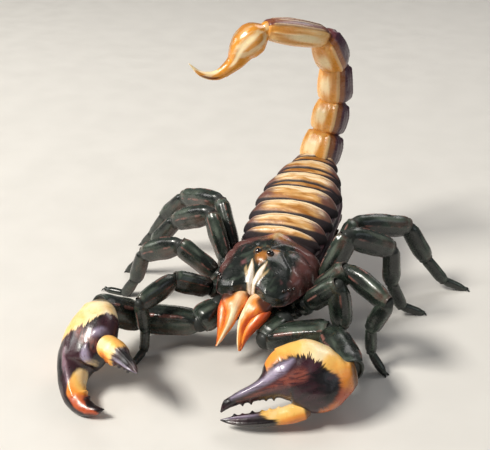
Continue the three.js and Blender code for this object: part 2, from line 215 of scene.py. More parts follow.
class Shell:
    # A closed body along a line. Rows are [t, half width, half height], [t, half width, above, below]
    # or [t, right, left, above, below]. A larger boxiness makes the section squarer.
    def __init__(self, line, rows, rings=40, sides=40, box=2.2, start=None, end=None):
        startRings, startPole = start or domed(0.5)
        endRings, endPole = end or domed(0.5)
        run = np.linspace(rows[0][0], rows[-1][0], rings)
        rows = [r if len(r) == 5 else [r[0], r[1], r[1], r[2], r[-1]] for r in rows]
        caps = [(s, -d) for s, d in reversed(startRings)], endRings
        t = np.concatenate([np.full(len(caps[0]), run[0]), run, np.full(len(caps[1]), run[-1])])
        grow = np.array([s for s, _ in caps[0]] + [1.0] * rings + [s for s, _ in caps[1]])
        move = np.array([d for _, d in caps[0]] + [0.0] * rings + [d for _, d in caps[1]])
        size = smoothRows(rows, t) * grow[:, None]
        centre, along = line(t)
        across = np.stack([along[:, 1], -along[:, 0], 0 * along[:, 0]], 1)
        across /= np.linalg.norm(across, axis=1)[:, None]
        upper = np.cross(across, along)
        angle = np.arange(sides) / sides * 2 * math.pi
        c, s = np.cos(angle), np.sin(angle)
        reach = (np.abs(c) ** box + np.abs(s) ** box) ** (-1 / box)
        x = np.where(c > 0, size[:, :1], size[:, 1:2]) * c * reach
        z = np.where(s > 0, size[:, 2:3], size[:, 3:4]) * s * reach
        centre = centre + along * move[:, None]
        self.points = centre[:, None] + across[:, None] * x[..., None] + upper[:, None] * z[..., None]
        ends, aim = line(np.array([run[0], run[-1]]))
        self.poles = np.array([ends[0] - aim[0] * startPole, ends[1] + aim[1] * endPole])
        self.t = np.broadcast_to(t[:, None], x.shape)
        self.angle = np.broadcast_to(angle[None], x.shape)
        self.free = np.broadcast_to(np.clip(grow, 0, 1)[:, None] ** 2, x.shape)
        self.base = self.points.copy()
        self.fields = {"ridge": np.zeros(x.shape), "mark": np.zeros(x.shape), "shade": np.zeros(x.shape)}

    def normals(self):
        around = np.roll(self.points, -1, 1) - np.roll(self.points, 1, 1)
        out = np.cross(np.gradient(self.points, axis=0), around)
        return out / np.maximum(np.linalg.norm(out, axis=2), 1e-9)[..., None]

    def stripe(self, degrees, width):  # 1 along the shell at this angle round its section, 0 away from it
        return bell(turnTo(self.angle, degrees), 0, width)

    def lift(self, amount):
        self.points = self.points + self.normals() * (amount * self.free)[..., None]
        return self

    def keel(self, degrees, height, width=6, beads=0, beadDepth=0.5, start=0.04, end=1.0, spine=0):
        # a ridge along the shell, beaded where it has granules, and higher at its far end by spine
        crest = self.stripe(degrees, width)
        run = rise(self.t, start, start + 0.12) * (1 - rise(self.t, end - 0.06, end + 0.02))
        tooth = spine * bell(self.t, end - 0.07, 0.055)
        if beads:
            run = run * (1 - beadDepth * (0.5 - 0.5 * np.cos(self.t * beads * 2 * math.pi)))
        self.fields["ridge"] = np.maximum(self.fields["ridge"], crest * run)
        return self.lift(crest * (height * run + tooth))


def ball(radius, rings=20, sides=28, steps=17):  # a round shell about its place's origin
    turns = [math.pi * (k + 0.5) / steps for k in range(steps)]
    rows = [[(1 - math.cos(a)) / 2, radius * math.sin(a), radius * math.sin(a)] for a in turns]
    line = through([0, -radius, 0], [0, radius, 0])
    return Shell(line, rows, rings, sides, box=2.0, **rounded(0.02, 0.02, 3))


def jointBall(mould, place, radius, shade=1.0):  # the soft skin inside a joint
    skin = ball(radius)
    skin.fields["shade"] = np.full(skin.t.shape, shade)
    mould.add(skin, place)


class Mould:  # gathers closed shells into one mesh with the fields that its material reads
    def __init__(self, name):
        self.name, self.points, self.faces, self.fields, self.count = name, [], [], [], 0

    def add(self, shell, place):
        rings, sides = shell.points.shape[:2]
        local = np.vstack([shell.points.reshape(-1, 3), shell.poles])
        ring, step = np.meshgrid(np.arange(rings - 1), np.arange(sides), indexing="ij")
        a, b = (ring * sides + step).ravel(), (ring * sides + (step + 1) % sides).ravel()
        quads = np.stack([a, a + sides, b + sides, b], 1)
        j = np.arange(sides)
        k = (j + 1) % sides
        first = np.stack([np.full(sides, rings * sides), j, k], 1)
        edge = (rings - 1) * sides
        last = np.stack([np.full(sides, rings * sides + 1), edge + k, edge + j], 1)
        corners = [local[quads[:, [0, 1, 2]]], local[quads[:, [0, 2, 3]]], local[first], local[last]]
        volume = sum(np.einsum("ij,ij->", np.cross(c[:, 0], c[:, 1]), c[:, 2]) for c in corners)
        if volume < 0:
            quads, first, last = quads[:, ::-1], first[:, ::-1], last[:, ::-1]
        self.points.append(place.points(local))
        self.faces += [(f + self.count).tolist() for f in (quads, first, last)]
        fields = {"spot": np.vstack([shell.base.reshape(-1, 3), shell.poles])}
        for key, value in shell.fields.items():
            flat = value.reshape((-1,) + value.shape[2:])
            fields[key] = np.concatenate([flat, [value[0].mean(0), value[-1].mean(0)]])
        self.fields.append(fields)
        self.count += len(local)
        return self

    def make(self, material, slot, *nodes):
        mesh = bpy.data.meshes.new(self.name)
        points = toScene(np.vstack(self.points))
        mesh.from_pydata(points.tolist(), [], [f for group in self.faces for f in group])
        for key, sample in {k: v for fields in self.fields for k, v in fields.items()}.items():
            blank = [np.zeros((len(fields["spot"]),) + sample.shape[1:]) for fields in self.fields]
            values = [fields.get(key, empty) for fields, empty in zip(self.fields, blank)]
            values = np.concatenate(values).astype(np.float32)
            kind, prop = ("FLOAT_VECTOR", "vector") if values.ndim == 2 else ("FLOAT", "value")
            layer = mesh.attributes.new(key, kind, "POINT")
            layer.data.foreach_set(prop, values.ravel())
        return finished(self.name, mesh, material, slot, *nodes)


def finished(name, mesh, material, slot, *nodes):
    mesh.polygons.foreach_set("use_smooth", [True] * len(mesh.polygons))
    mesh.materials.clear()
    mesh.materials.append(material)
    mesh.update()
    piece = bpy.data.objects.new(name, mesh)
    bpy.context.scene.collection.objects.link(piece)
    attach(piece, body)
    if nodes:
        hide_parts(*nodes)
    return piece


# Materials

class Recipe:
    # A material's nodes, with short calls for what every finish here uses. A colour may be given by its
    # name in the look, and a value by the name of the mesh's field.
    def __init__(self, name, look):
        self.look = look
        self.material = bpy.data.materials.new(name)
        self.material.use_nodes = True
        self.tree = self.material.node_tree
        self.shader = self.tree.nodes["Principled BSDF"]

    def node(self, kind, inputs=(), **settings):
        node = self.tree.nodes.new(kind)
        for key, value in settings.items():
            setattr(node, key, value)
        for key, value in dict(inputs).items():
            if isinstance(value, bpy.types.NodeSocket):
                self.tree.links.new(value, node.inputs[key])
            else:
                node.inputs[key].default_value = value
        return node

    def field(self, name):
        node = self.node("ShaderNodeAttribute", attribute_name=name)
        return node.outputs["Vector" if name in ("spot", "streak") else "Fac"]

    def stretched(self, x, y, z):
        return self.node("ShaderNodeMapping", {"Vector": self.field("spot"), "Scale": (x, y, z)}).outputs[0]

    def noise(self, scale, detail=3, rough=0.55, vector=None, bend=0):
        inputs = {"Vector": vector or self.field("spot"), "Scale": scale, "Detail": detail}
        inputs.update({"Roughness": rough, "Distortion": bend})
        return self.node("ShaderNodeTexNoise", inputs).outputs["Fac"]

    def cells(self, scale):
        inputs = {"Vector": self.field("spot"), "Scale": scale}
        return self.node("ShaderNodeTexVoronoi", inputs).outputs["Distance"]

    def math(self, operation, a, b):
        return self.node("ShaderNodeMath", {0: a, 1: b}, operation=operation).outputs[0]

    def times(self, a, b):
        return self.math("MULTIPLY", a, b)

    def added(self, a, b):
        return self.math("ADD", a, b)

    def less(self, a, b):
        return self.math("SUBTRACT", a, b)

    def ramp(self, value, low, high, to=(0.0, 1.0)):
        if isinstance(value, str):
            value = self.field(value)
        inputs = {"Value": value, "From Min": low, "From Max": high, "To Min": to[0], "To Max": to[1]}
        return self.node("ShaderNodeMapRange", inputs, interpolation_type="SMOOTHSTEP").outputs[0]

    def mix(self, factor, a, b):
        node = self.node("ShaderNodeMix", {0: factor}, data_type="RGBA")
        for index, value in ((6, a), (7, b)):
            if isinstance(value, bpy.types.NodeSocket):
                self.tree.links.new(value, node.inputs[index])
            else:
                node.inputs[index].default_value = (*self.look[value], 1)
        return node.outputs[2]

    def paint(self, under, value, low, high, over, share=1.0):  # over covers under as value grows
        return self.mix(self.ramp(value, low, high, (0.0, share)), under, over)

    def plus(self, value, other, share):
        return self.added(value, self.times(other, share))

    def swayed(self, value, noise, share):  # value moved up and down by a noise about its middle
        return self.plus(value, self.less(noise, 0.5), share)

    def grain(self, scale, smooth, rough, detail=3):  # a roughness that wanders between two values
        return self.ramp(self.noise(scale, detail), 0.3, 0.7, (smooth, rough))

    def bumps(self, *layers):  # layers of (height socket, depth in metres, strength)
        normal = None
        for height, depth, strength in layers:
            inputs = {"Height": height, "Distance": depth, "Strength": strength}
            if normal:
                inputs["Normal"] = normal
            normal = self.node("ShaderNodeBump", inputs).outputs[0]
        return normal

    def finish(self, colour, roughness, normal, coat=0.3, coatRoughness=0.15, glow=0.0):
        for key, socket in (("Base Color", colour), ("Roughness", roughness), ("Normal", normal)):
            self.tree.links.new(socket, self.shader.inputs[key])
        self.shader.inputs["Coat Weight"].default_value = coat
        self.shader.inputs["Coat Roughness"].default_value = coatRoughness
        self.shader.inputs["IOR"].default_value = 1.55
        if glow:  # light that passes a little way into pale shell
            self.shader.inputs["Subsurface Weight"].default_value = glow
            self.shader.inputs["Subsurface Radius"].default_value = (1.0, 0.45, 0.2)
            self.shader.inputs["Subsurface Scale"].default_value = 0.001
        return self.material


print("stage: tools ready")

# Tail and sting

tailLook = {
    "amber": (0.72, 0.30, 0.045),
    "peach": (0.93, 0.54, 0.19),
    "cream": (1.0, 0.81, 0.48),
    # rust and underside: the darker flanks and underside, partly the shell's own tone and partly painted
    # shade; rust also darkens the joints
    "rust": (0.30, 0.075, 0.012),
    "underside": (0.058, 0.015, 0.042),
}


def tailFinish():
    r = Recipe("amberTailShell", tailLook)
    streaks = r.noise(0.34, 3, vector=r.stretched(1, 0.16, 1), bend=0.3)
    colour = r.paint("amber", streaks, 0.38, 0.60, "peach")
    # painted highlight: cream streaks over the amber and peach
    colour = r.paint(colour, streaks, 0.55, 0.72, "cream", 0.8)
    # painted highlight: cream where the field pale lies, swayed by the streaks
    belly = r.swayed(r.field("pale"), streaks, 0.8)
    colour = r.paint(colour, belly, 0.3, 0.9, "cream", 0.9)
    # the flanks and underside darken to rust and purple-brown: partly the shell's own tone, partly painted
    # shade
    toneAndShadeNoise = r.times(r.noise(0.4, 4, vector=r.stretched(1, 0.3, 1)), 0.4)
    under = r.added(r.field("mark"), toneAndShadeNoise)
    colour = r.paint(colour, under, 0.45, 0.75, "rust", 0.92)
    colour = r.paint(colour, under, 0.80, 1.1, "underside", 0.95)
    # painted highlights: cream along the keels
    colour = r.paint(colour, "ridge", 0.3, 0.9, "cream", 0.4)
    colour = r.paint(colour, "shade", 0.2, 1.0, "rust", 0.9)
    rough = r.grain(0.8, 0.24, 0.38)
    normal = r.bumps((r.noise(0.6, 3), 0.0003, 0.25), (r.cells(2.2), 0.00004, 0.2))
    return r.finish(colour, rough, normal, coat=0.22, coatRoughness=0.16, glow=0.06)


tailShell = tailFinish()
tail = {
    "segments": [
        {"length": 10.5, "width": 6.5, "depth": 5.9, "heading": 150, "elevation": 70},
        {"length": 10.5, "width": 5.6, "depth": 5.3, "heading": 150, "elevation": 72},
        {"length": 12.0, "width": 5.3, "depth": 5.1, "heading": 150, "elevation": 90},
        {"length": 13.5, "width": 5.0, "depth": 4.8, "heading": 165, "elevation": 129},
        {"length": 20.0, "width": 4.5, "depth": 3.9, "heading": 132, "elevation": 168},
    ],
    "shares": [  # how wide and deep a segment is along its length
        [-0.05, 0.44, 0.44], [0, 0.60, 0.62], [0.06, 0.79, 0.80], [0.16, 0.92, 0.92], [0.34, 1.0, 0.98],
        [0.58, 0.98, 1.0], [0.78, 0.92, 0.95], [0.92, 0.82, 0.86], [1.0, 0.70, 0.74],
    ],
    "start": (0, 47, 1),
    "keels": (40, 2, -40, -70),  # degrees round a segment: upper, flank, lower and under
    "telson": (121, 212),
}


def tailSegment(number, length, width, depth, heading, elevation, joint):
    place = placeAt(joint, heading, elevation)
    rows = [[t, w * width, h * depth] for t, w, h in tail["shares"]]
    shell = Shell(straight(length), rows, 84, 120, box=2.3, **rounded(0.6, 0.9))
    last = number == 5
    beads = round(length / beadPitch)
    up = np.sin(shell.angle)
    middle = shell.stripe(90, 20)
    shell.lift(-0.35 * middle * rise(shell.t, 0.04, 0.3) * (1 - rise(shell.t, 0.8, 1)))
    shell.lift(0.22 * ripple(shell.base, 9, number))
    for mirror in (1, -1):
        upper, flank, lower, under = (90 + mirror * (90 - degrees) for degrees in tail["keels"])
        shell.keel(upper, 0.25 if last else 0.5, 8, beads, 0.12, spine=0.05 if last else 0.25)
        shell.keel(flank, 0.2, 6, beads, 0.15, start=0.1 if number < 3 else 0.4)
        shell.keel(lower, 0.4, 7, beads, 0.1, spine=0.15)
        shell.keel(under, 0.2, 6, beads, 0.12, end=0.9 if last else 1.0)
    if last:
        shell.keel(270, 0.25, 6, beads, 0.15)
        # mark: darker along the underside, partly its own tone and partly painted shade
        shell.fields["mark"] = 0.62 * rise(-up, 0.50, 0.66) + 0.15 * rise(-up, -0.1, 0.4)
        # pale: a painted highlight on both sides of this segment
        shell.fields["pale"] = (shell.stripe(8, 22) + shell.stripe(172, 22)) * bell(shell.t, 0.5, 0.4)
    else:
        # the keels' painted highlights, kept mostly to the upper keels
        shell.fields["ridge"] *= rise(up, -0.85, -0.4) * (0.35 + 0.65 * rise(up, 0.3, 0.55))
        # mark: darker on the flanks and underside, partly the shell's own tone and partly painted shade
        flank = (0.34 + 0.34 * bell(shell.t, 0.5, 0.35)) * rise(-up, -0.45, 0.1)
        shell.fields["mark"] = 0.52 * rise(-up, -0.66, -0.52) + flank
        # pale: a painted highlight down the middle of the upper face
        shell.fields["pale"] = shell.stripe(90, 34) * bell(shell.t, 0.52, 0.36)
    tailEnd = 0.3 if last else 0.7
    shell.fields["shade"] = np.clip(bell(shell.t, -0.03, 0.06) + tailEnd * bell(shell.t, 1.03, 0.04), 0, 1)
    mould = Mould(f"tailSegment{number}").add(shell, place)
    jointBall(mould, place, 0.6 * depth)
    mould.make(tailShell, "tail", f"metasoma_{number}")
    return place


joint = backPlace.points(tail["start"])
for index, segment in enumerate(tail["segments"]):
    place = tailSegment(index + 1, joint=joint, **segment)
    joint = place.points([0, segment["length"], 0])

stingLook = {
    "amber": (0.76, 0.31, 0.035),
    "cream": (1.0, 0.82, 0.50),
    "brown": (0.22, 0.055, 0.008),
}


def stingFinish():
    r = Recipe("glossyAmberSting", stingLook)
    streaks = r.noise(0.35, 3, vector=r.stretched(1.3, 0.09, 1.3), bend=0.2)
    # painted highlights: cream streaks along the bulb and sting
    colour = r.paint("amber", streaks, 0.48, 0.66, "cream", 0.7)
    # ridge: painted highlight lines and the pale tip
    colour = r.paint(colour, "ridge", 0.25, 0.9, "cream", 0.85)
    edge = r.plus(r.field("mark"), streaks, 0.5)
    colour = r.paint(colour, edge, 0.5, 1.05, "brown", 0.9)
    colour = r.paint(colour, "shade", 0.2, 1.0, "brown", 0.85)
    rough = r.grain(0.7, 0.18, 0.28)
    normal = r.bumps((r.noise(0.5, 3), 0.0002, 0.2))
    return r.finish(colour, rough, normal, coat=0.4, coatRoughness=0.1, glow=0.1)


stingShell = stingFinish()
telson = {
    "neck": 2.4,
    "grooves": [(270, 0.28), (205, 0.2), (335, 0.2), (42, 0.16), (138, 0.16)],
    "bulbLine": through([0, 0, 0], [0, 4.6, -0.15], [0, 9.0, 0.7], [0, 13.2, 2.7], [0, 17.8, 3.25]),
    "bulbRows": [
        [0, 2.1, 2.05], [0.04, 2.6, 2.45], [0.09, 3.4, 3.2], [0.14, 4.15, 3.95],
        [0.20, 4.8, 4.6], [0.28, 5.2, 4.95], [0.42, 4.9, 4.75], [0.55, 4.0, 3.9],
        [0.68, 3.1, 3.0], [0.82, 2.35, 2.25], [1.0, 1.74, 1.74],
    ],
    "stingLine": through([0, 17.2, 3.2], [0, 19.4, 2.9], [0, 21.7, 1.6], [0, 23.6, -0.8], [0, 24.6, -4.9]),
    "stingRows": [
        [0, 1.7, 1.75], [0.25, 1.5, 1.55], [0.5, 1.15, 1.2],
        [0.75, 0.72, 0.75], [0.92, 0.36, 0.36], [1, 0.1, 0.1],
    ],
}


def stingPieces():
    place = placeAt(joint, *tail["telson"])
    bulb = Shell(telson["bulbLine"], telson["bulbRows"], 90, 96, box=2.05, **rounded(1.0, 0.15))
    bulb.lift(0.12 * ripple(bulb.base, 7, 21))
    for degrees, depth in telson["grooves"]:
        bulb.lift(-depth * bulb.stripe(degrees, 9) * bell(bulb.t, 0.4, 0.3))
    up = np.sin(bulb.angle)
    begin = rise(bulb.t, 0.08, 0.3)
    bulb.fields["mark"] = 0.5 * rise(-up, 0.6, 1) + 0.55 * rise(up, 0.6, 1)
    # ridge: two painted highlight lines along the bulb
    bulb.fields["ridge"] = bulb.stripe(340, 15) * begin * (1 - rise(bulb.t, 0.75, 1))
    bulb.fields["ridge"] += bulb.stripe(200, 15) * begin
    bulb.fields["shade"] = 0.3 * bell(bulb.t, 0, 0.04)
    mould = Mould("stingBulb").add(bulb, place)
    jointBall(mould, place, telson["neck"], 0.15)
    mould.make(stingShell, "tail", "telson_vesicle")
    sting = Shell(telson["stingLine"], telson["stingRows"], 64, 40, box=2.0, **rounded(0.3, 0.1))
    up = np.sin(sting.angle)
    edge = 0.9 * bell(up, 0.35, 0.4) + 0.3 * rise(-up, 0.6, 1)
    sting.fields["mark"] = edge * rise(sting.t, 0.02, 0.4) * (1 - rise(sting.t, 0.6, 0.9))
    # pale and ridge: painted highlight bands along the sting and on its tip
    pale = (rise(-up, 0.2, 0.7) + rise(up, 0.75, 0.95)) * rise(sting.t, 0.05, 0.35)
    sting.fields["ridge"] = pale + rise(sting.t, 0.75, 0.95)
    Mould("stingPoint").add(sting, place).make(stingShell, "sting", "telson_aculeus")


stingPieces()
print("stage: tail and sting")

# Back plates, soft sides and belly plates

backRows = [
    [0, 12, 6.6, 5], [0.05, 12.8, 7.4, 5.8], [0.2, 13.6, 8, 6.2], [0.4, 13.9, 8.2, 6.4],
    [0.6, 13.2, 7.9, 6.2], [0.75, 11.2, 7.4, 5.8], [0.88, 8.9, 6.6, 5.3], [1, 6, 5.4, 4.8],
]
backBox = 2.2  # how square the back is across
plateLook = {
    "tan": (0.66, 0.36, 0.12),
    "gold": (0.36, 0.135, 0.018),
    "cream": (0.97, 0.77, 0.50),
    # mauve and dark: painted shade on the plates' ends and in the gaps between plates
    "mauve": (0.130, 0.045, 0.040),
    "pink": (0.50, 0.24, 0.20),
    "dark": (0.012, 0.006, 0.009),
}


def plateFinish():
    r = Recipe("tanBackPlate", plateLook)
    bands = r.noise(0.42, 4, vector=r.stretched(0.3, 1.7, 0.3), bend=0.5)
    # painted highlight: each plate turns from gold at its front to cream along its rolled rear edge
    paintedRollLight = r.swayed(r.field("band"), bands, 2.2)
    colour = r.paint("gold", paintedRollLight, 0.15, 0.55, "tan")
    colour = r.paint(colour, paintedRollLight, 0.5, 0.95, "cream", 0.95)
    # painted shade: mauve, then near black, where the plates turn down the sides
    cloud = r.noise(0.33, 4, vector=r.stretched(0.5, 1.2, 0.5))
    outward = r.plus(r.field("mark"), cloud, 0.6)
    colour = r.paint(colour, outward, 0.48, 0.80, "mauve", 0.92)
    colour = r.paint(colour, outward, 0.85, 1.15, "dark", 0.92)
    # painted highlights on the rear rims and side keels: cream, turning pink toward the plates' ends
    edge = r.paint("cream", "mark", 0.2, 0.6, "pink")
    colour = r.paint(colour, "ridge", 0.3, 0.95, edge, 0.8)
    colour = r.paint(colour, "shade", 0.1, 0.8, "dark", 0.98)
    matt = r.times(r.field("shade"), 0.4)
    rough = r.added(r.grain(0.8, 0.32, 0.46), matt)
    normal = r.bumps((r.noise(0.7, 4), 0.0003, 0.3), (r.cells(2.2), 0.00005, 0.3))
    return r.finish(colour, rough, normal, coat=0.04, coatRoughness=0.3, glow=0.03)


plateShell = plateFinish()


def backSurface(y, degrees):  # a point and outward direction on the back, y along it from the waist
    half, above, below = smoothRows(backRows, y.ravel() / stance["backLength"]).T.reshape((3,) + y.shape)
    a = np.radians(degrees)
    c, s = np.cos(a), np.sin(a)
    high = np.where(s > 0, above, below)
    reach = (np.abs(c) ** backBox + np.abs(s) ** backBox) ** (-1 / backBox)
    points = np.stack([half * c * reach, y, high * s * reach], -1)
    out = np.stack([c / half, 0 * y, s / high], -1)
    return points, out / np.linalg.norm(out, axis=-1)[..., None]


class Plate:  # a thin curved plate across the body, with a rolled rear edge: columns run across it
    def __init__(self, front, rear, span, look, columns=120, outer=48, seed=0, groove=0.0):
        low, high = span
        k = np.linspace(-1, 1, columns)[:, None]
        degrees = (low + high) / 2 + (high - low) / 2 * k
        inner = outer // 2
        bend = np.linspace(0.15, 0.85, 5)  # rings round the rear edge, from the outer face to the inner one
        tuck = [0.75, 0.5, 0.25]  # rings that close the front edge
        s = np.concatenate([np.linspace(0, 1, outer), 0 * bend + 1, np.linspace(1, 0, inner), np.zeros(3)])
        inward = np.concatenate([np.zeros(outer), bend, np.ones(inner), tuck])
        roll = np.concatenate([np.zeros(outer), np.sin(bend * math.pi), np.zeros(inner + 3)])
        full = 1 - np.abs(k) ** 6
        lateral = bell(degrees, 50, 7) + bell(degrees, 130, 7)
        wave = 0.3 * ripple(np.hstack([k * 14, k * 0, k * 0 + seed]), 9, seed)[:, None]
        end = rear - look["corner"] * np.abs(k) ** 3 + wave * full
        begin = front + 0.5 * look["corner"] * np.abs(k) ** 6
        y = begin + (end - begin) * s + 0.25 * roll * full
        base, out = backSurface(y, degrees + 0 * y)
        into = y - begin - look["cover"]  # how far behind the plate before it a point lies
        band = np.clip(into / (end - begin - look["cover"]), 0, 1)
        height = look["sink"] + look["step"] * np.sin(math.pi / 2 * np.clip(band / 0.65, 0, 1))
        height = height - look["drop"] * rise(band, 0.75, 1) + 0.14 * ripple(base, 6, seed + 40)
        height = height + (0.15 * lateral + 0.12 * bell(degrees, 90, 5)) * rise(band, 0.2, 0.6) * full
        height = height - look["dive"] * np.abs(k) ** 5
        crease = bell(band, groove, 0.07) if groove else 0 * band
        height = height - 0.6 * crease
        depth = look["thickness"] * (0.15 + 0.85 * full) * inward
        self.points = base + out * (height - depth)[..., None]
        self.poles = np.array([self.points[0].mean(0), self.points[-1].mean(0)])
        self.base = self.points.copy()
        outside = (inward < 0.5) * np.ones_like(y)
        dark = min(look["dark"], 0.26 * (rear - front - look["cover"]))
        gap = 1 - rise(into - 1.4 * k * k, dark - 0.6, dark + 0.5)
        self.fields = {
            # mark: nearness to the plate's ends, painted as shade on the back plates
            "mark": np.abs(k) ** 1.5 + 0 * y,
            # band: share of the visible plate, painted from gold to a cream highlight on the back plates
            "band": band,
            # ridge: the rear rim and side keels, painted as highlights
            "ridge": outside * (bell(band, 0.97, 0.06) + 0.25 * lateral * rise(band, 0.5, 0.8)),
            "shade": np.clip(gap + 1 - outside + crease, 0, 1),
        }


tergites = {
    "shares": [0.1, 0.12, 0.135, 0.15, 0.16, 0.165, 0.17],
    "span": (20, 160),
    "overlap": 0.7,
    "tuck": 1.5,
    "look": {
        "corner": 3.6, "sink": -0.6, "step": 1.6, "drop": 0.3,
        "dive": 1.1, "thickness": 0.75, "cover": 2.0, "dark": 1.6,
    },
    "grooves": [0, 0, 0, 0, 0.42, 0.45, 0.5],  # a crease across the longer plates
}


def backPlates():
    start = 0
    for i, share in enumerate(tergites["shares"]):
        length = share * stance["backLength"]
        front = max(start - tergites["tuck"], 0.2)
        rear = min(start + length + tergites["overlap"], stance["backLength"] - 0.2)
        groove = tergites["grooves"][i]
        plate = Plate(front, rear, tergites["span"], tergites["look"], seed=i + 1, groove=groove)
        Mould(f"backPlate{i + 1}").add(plate, backPlace).make(plateShell, "back_plates", f"tergite_{i + 1}")
        start += length


backPlates()

sideLook = {
    "dark": (0.018, 0.008, 0.014),
    "mauve": (0.085, 0.032, 0.045),
    "pink": (0.34, 0.13, 0.16),
}


def sideFinish():
    r = Recipe("softDarkSide", sideLook)
    folds = r.noise(0.45, 4, vector=r.stretched(1.4, 0.35, 1.4), bend=0.5)
    colour = r.paint("dark", folds, 0.4, 0.66, "mauve")
    # painted highlights: pink along the crests of the folds
    colour = r.paint(colour, "ridge", 0.5, 0.95, "pink", 0.5)
    rough = r.grain(2.0, 0.3, 0.5)
    wrinkles = r.noise(1.3, 4, vector=r.stretched(1.6, 0.5, 1.6))
    normal = r.bumps((wrinkles, 0.0003, 0.5), (r.cells(3), 0.00005, 0.2))
    return r.finish(colour, rough, normal, coat=0.15, coatRoughness=0.25)


sideInset = {"side": 0.9, "above": 1.5, "below": 0.5}  # how far the soft skin lies inside the plates


def softSides():
    inset = [0, *sideInset.values()]
    rows = [[value - inner for value, inner in zip(row, inset)] for row in backRows]
    shell = Shell(straight(stance["backLength"]), rows, 130, 160, box=backBox, **rounded(1.0, 0.8))
    sides = np.abs(np.cos(shell.angle)) ** 3
    folds = np.sin(np.degrees(shell.angle) * 0.34 + 1.6 * ripple(shell.base, 16, 5))
    shell.lift((0.3 * folds + 0.15 * ripple(shell.base, 4, 6)) * sides)
    # ridge: the crests of the folds, painted as highlights
    shell.fields["ridge"] = rise(folds, 0.5, 1) * sides
    Mould("softSides").add(shell, backPlace).make(sideFinish(), "belly", "belly")


softSides()


bellyLook = {
    "brown": (0.16, 0.075, 0.035),
    "tan": (0.34, 0.18, 0.08),
    "dark": (0.035, 0.016, 0.014),
    "sand": (0.55, 0.36, 0.18),
}


def bellyFinish():
    r = Recipe("brownBellyPlate", bellyLook)
    colour = r.paint("brown", r.noise(0.3, 3), 0.35, 0.65, "tan")
    colour = r.paint(colour, "shade", 0.2, 0.9, "dark", 0.9)
    colour = r.paint(colour, "ridge", 0.4, 0.9, "sand", 0.6)
    rough = r.grain(1.7, 0.25, 0.4)
    normal = r.bumps((r.noise(1.0, 4), 0.0002, 0.3), (r.cells(5), 0.00005, 0.2))
    return r.finish(colour, rough, normal, coat=0.3)


bellyShell = bellyFinish()
sternites = {
    "ends": [8.5, 15, 21.5, 28.5, 36.5, 46.3],
    "span": (203, 337),
    "look": {
        "corner": 1.6, "sink": -0.25, "step": 0.6, "drop": 0.1,
        "dive": 0, "thickness": 0.6, "cover": 1.0, "dark": 0.4,
    },
    "slits": (235, 305),  # degrees round the body
    "slitPlates": 4,
    "slitLength": 3.0,
    "slitPlace": 0.55,  # share of the plate's length
    "slitRows": [[0, 0.25, 0.2], [0.5, 0.55, 0.3], [1, 0.25, 0.2]],
}


def slitBasis(out):  # the slit's length lies across the body, its height along the plate's normal
    upper = backPlace.vectors(out)
    along = np.cross(upper, backPlace.basis[:, 1])
    along /= np.linalg.norm(along)
    return np.column_stack([np.cross(along, upper), along, upper])


def bellyPlates():
    ends = sternites["ends"]
    for i, (front, rear) in enumerate(zip(ends[:-1], ends[1:])):
        plate = Plate(front - 0.8, rear + 0.5, sternites["span"], sternites["look"], 90, 26, i + 11)
        mould = Mould(f"bellyPlate{i + 1}").add(plate, backPlace)
        for degrees in sternites["slits"] if i < sternites["slitPlates"] else ():
            along = front + sternites["slitPlace"] * (rear - front)
            spot, out = backSurface(np.array([along]), np.array([degrees]))
            rim = Shell(straight(sternites["slitLength"]), sternites["slitRows"], 14, 14)
            rim.lift(-0.3 * rim.stripe(90, 25) * bell(rim.t, 0.5, 0.3))
            rim.fields["shade"] = np.ones_like(rim.t)
            mould.add(rim, Place(backPlace.points(spot[0] + out[0] * 0.3), slitBasis(out[0])))
        mould.make(bellyShell, "belly")


bellyPlates()
print("stage: back and belly")

# Front shield

shieldLook = {
    "black": (0.007, 0.010, 0.008),
    "green": (0.050, 0.070, 0.050),
    "pink": (0.30, 0.115, 0.125),
    "brown": (0.125, 0.042, 0.036),
    "tan": (0.48, 0.34, 0.17),
    "cream": (0.95, 0.86, 0.76),
    "amber": (0.46, 0.170, 0.026),
}


def shieldFinish():
    r = Recipe("darkFrontShield", shieldLook)
    patches = r.noise(0.20, 3, vector=r.stretched(1, 0.6, 1), bend=0.8)
    colour = r.paint("black", patches, 0.46, 0.66, "green", 0.85)
    flush = r.noise(0.22, 3, vector=r.stretched(1.2, 0.45, 1.2), bend=0.6)
    colour = r.paint(colour, flush, 0.55, 0.72, "pink", 0.6)
    outward = r.plus(r.field("mark"), r.noise(0.3, 3), 0.6)
    colour = r.paint(colour, outward, 0.65, 1.0, "brown", 0.9)
    colour = r.paint(colour, "apex", 0.2, 0.8, "amber", 0.85)
    # painted highlights: pink along the rear margin and the side rims
    colour = r.paint(colour, "ridge", 0.35, 0.9, "pink", 0.7)
    # painted highlights: tan and cream strokes along the crests from the jaws and down the midline
    strokes = r.noise(0.9, 3, vector=r.stretched(1.6, 0.4, 1.6))
    grain = r.times(r.less(strokes, 0.5), 0.5)
    pale = r.plus(r.field("pale"), grain, r.field("pale"))
    colour = r.paint(colour, pale, 0.15, 0.55, "tan", 0.9)
    colour = r.paint(colour, pale, 0.5, 0.95, "cream", 0.95)
    colour = r.paint(colour, "shade", 0.2, 0.9, "black", 0.9)
    rough = r.grain(0.6, 0.24, 0.40)
    normal = r.bumps((r.noise(0.7, 4), 0.0003, 0.3), (r.cells(1.7), 0.00012, 0.35))
    return r.finish(colour, rough, normal, coat=0.35, coatRoughness=0.16)


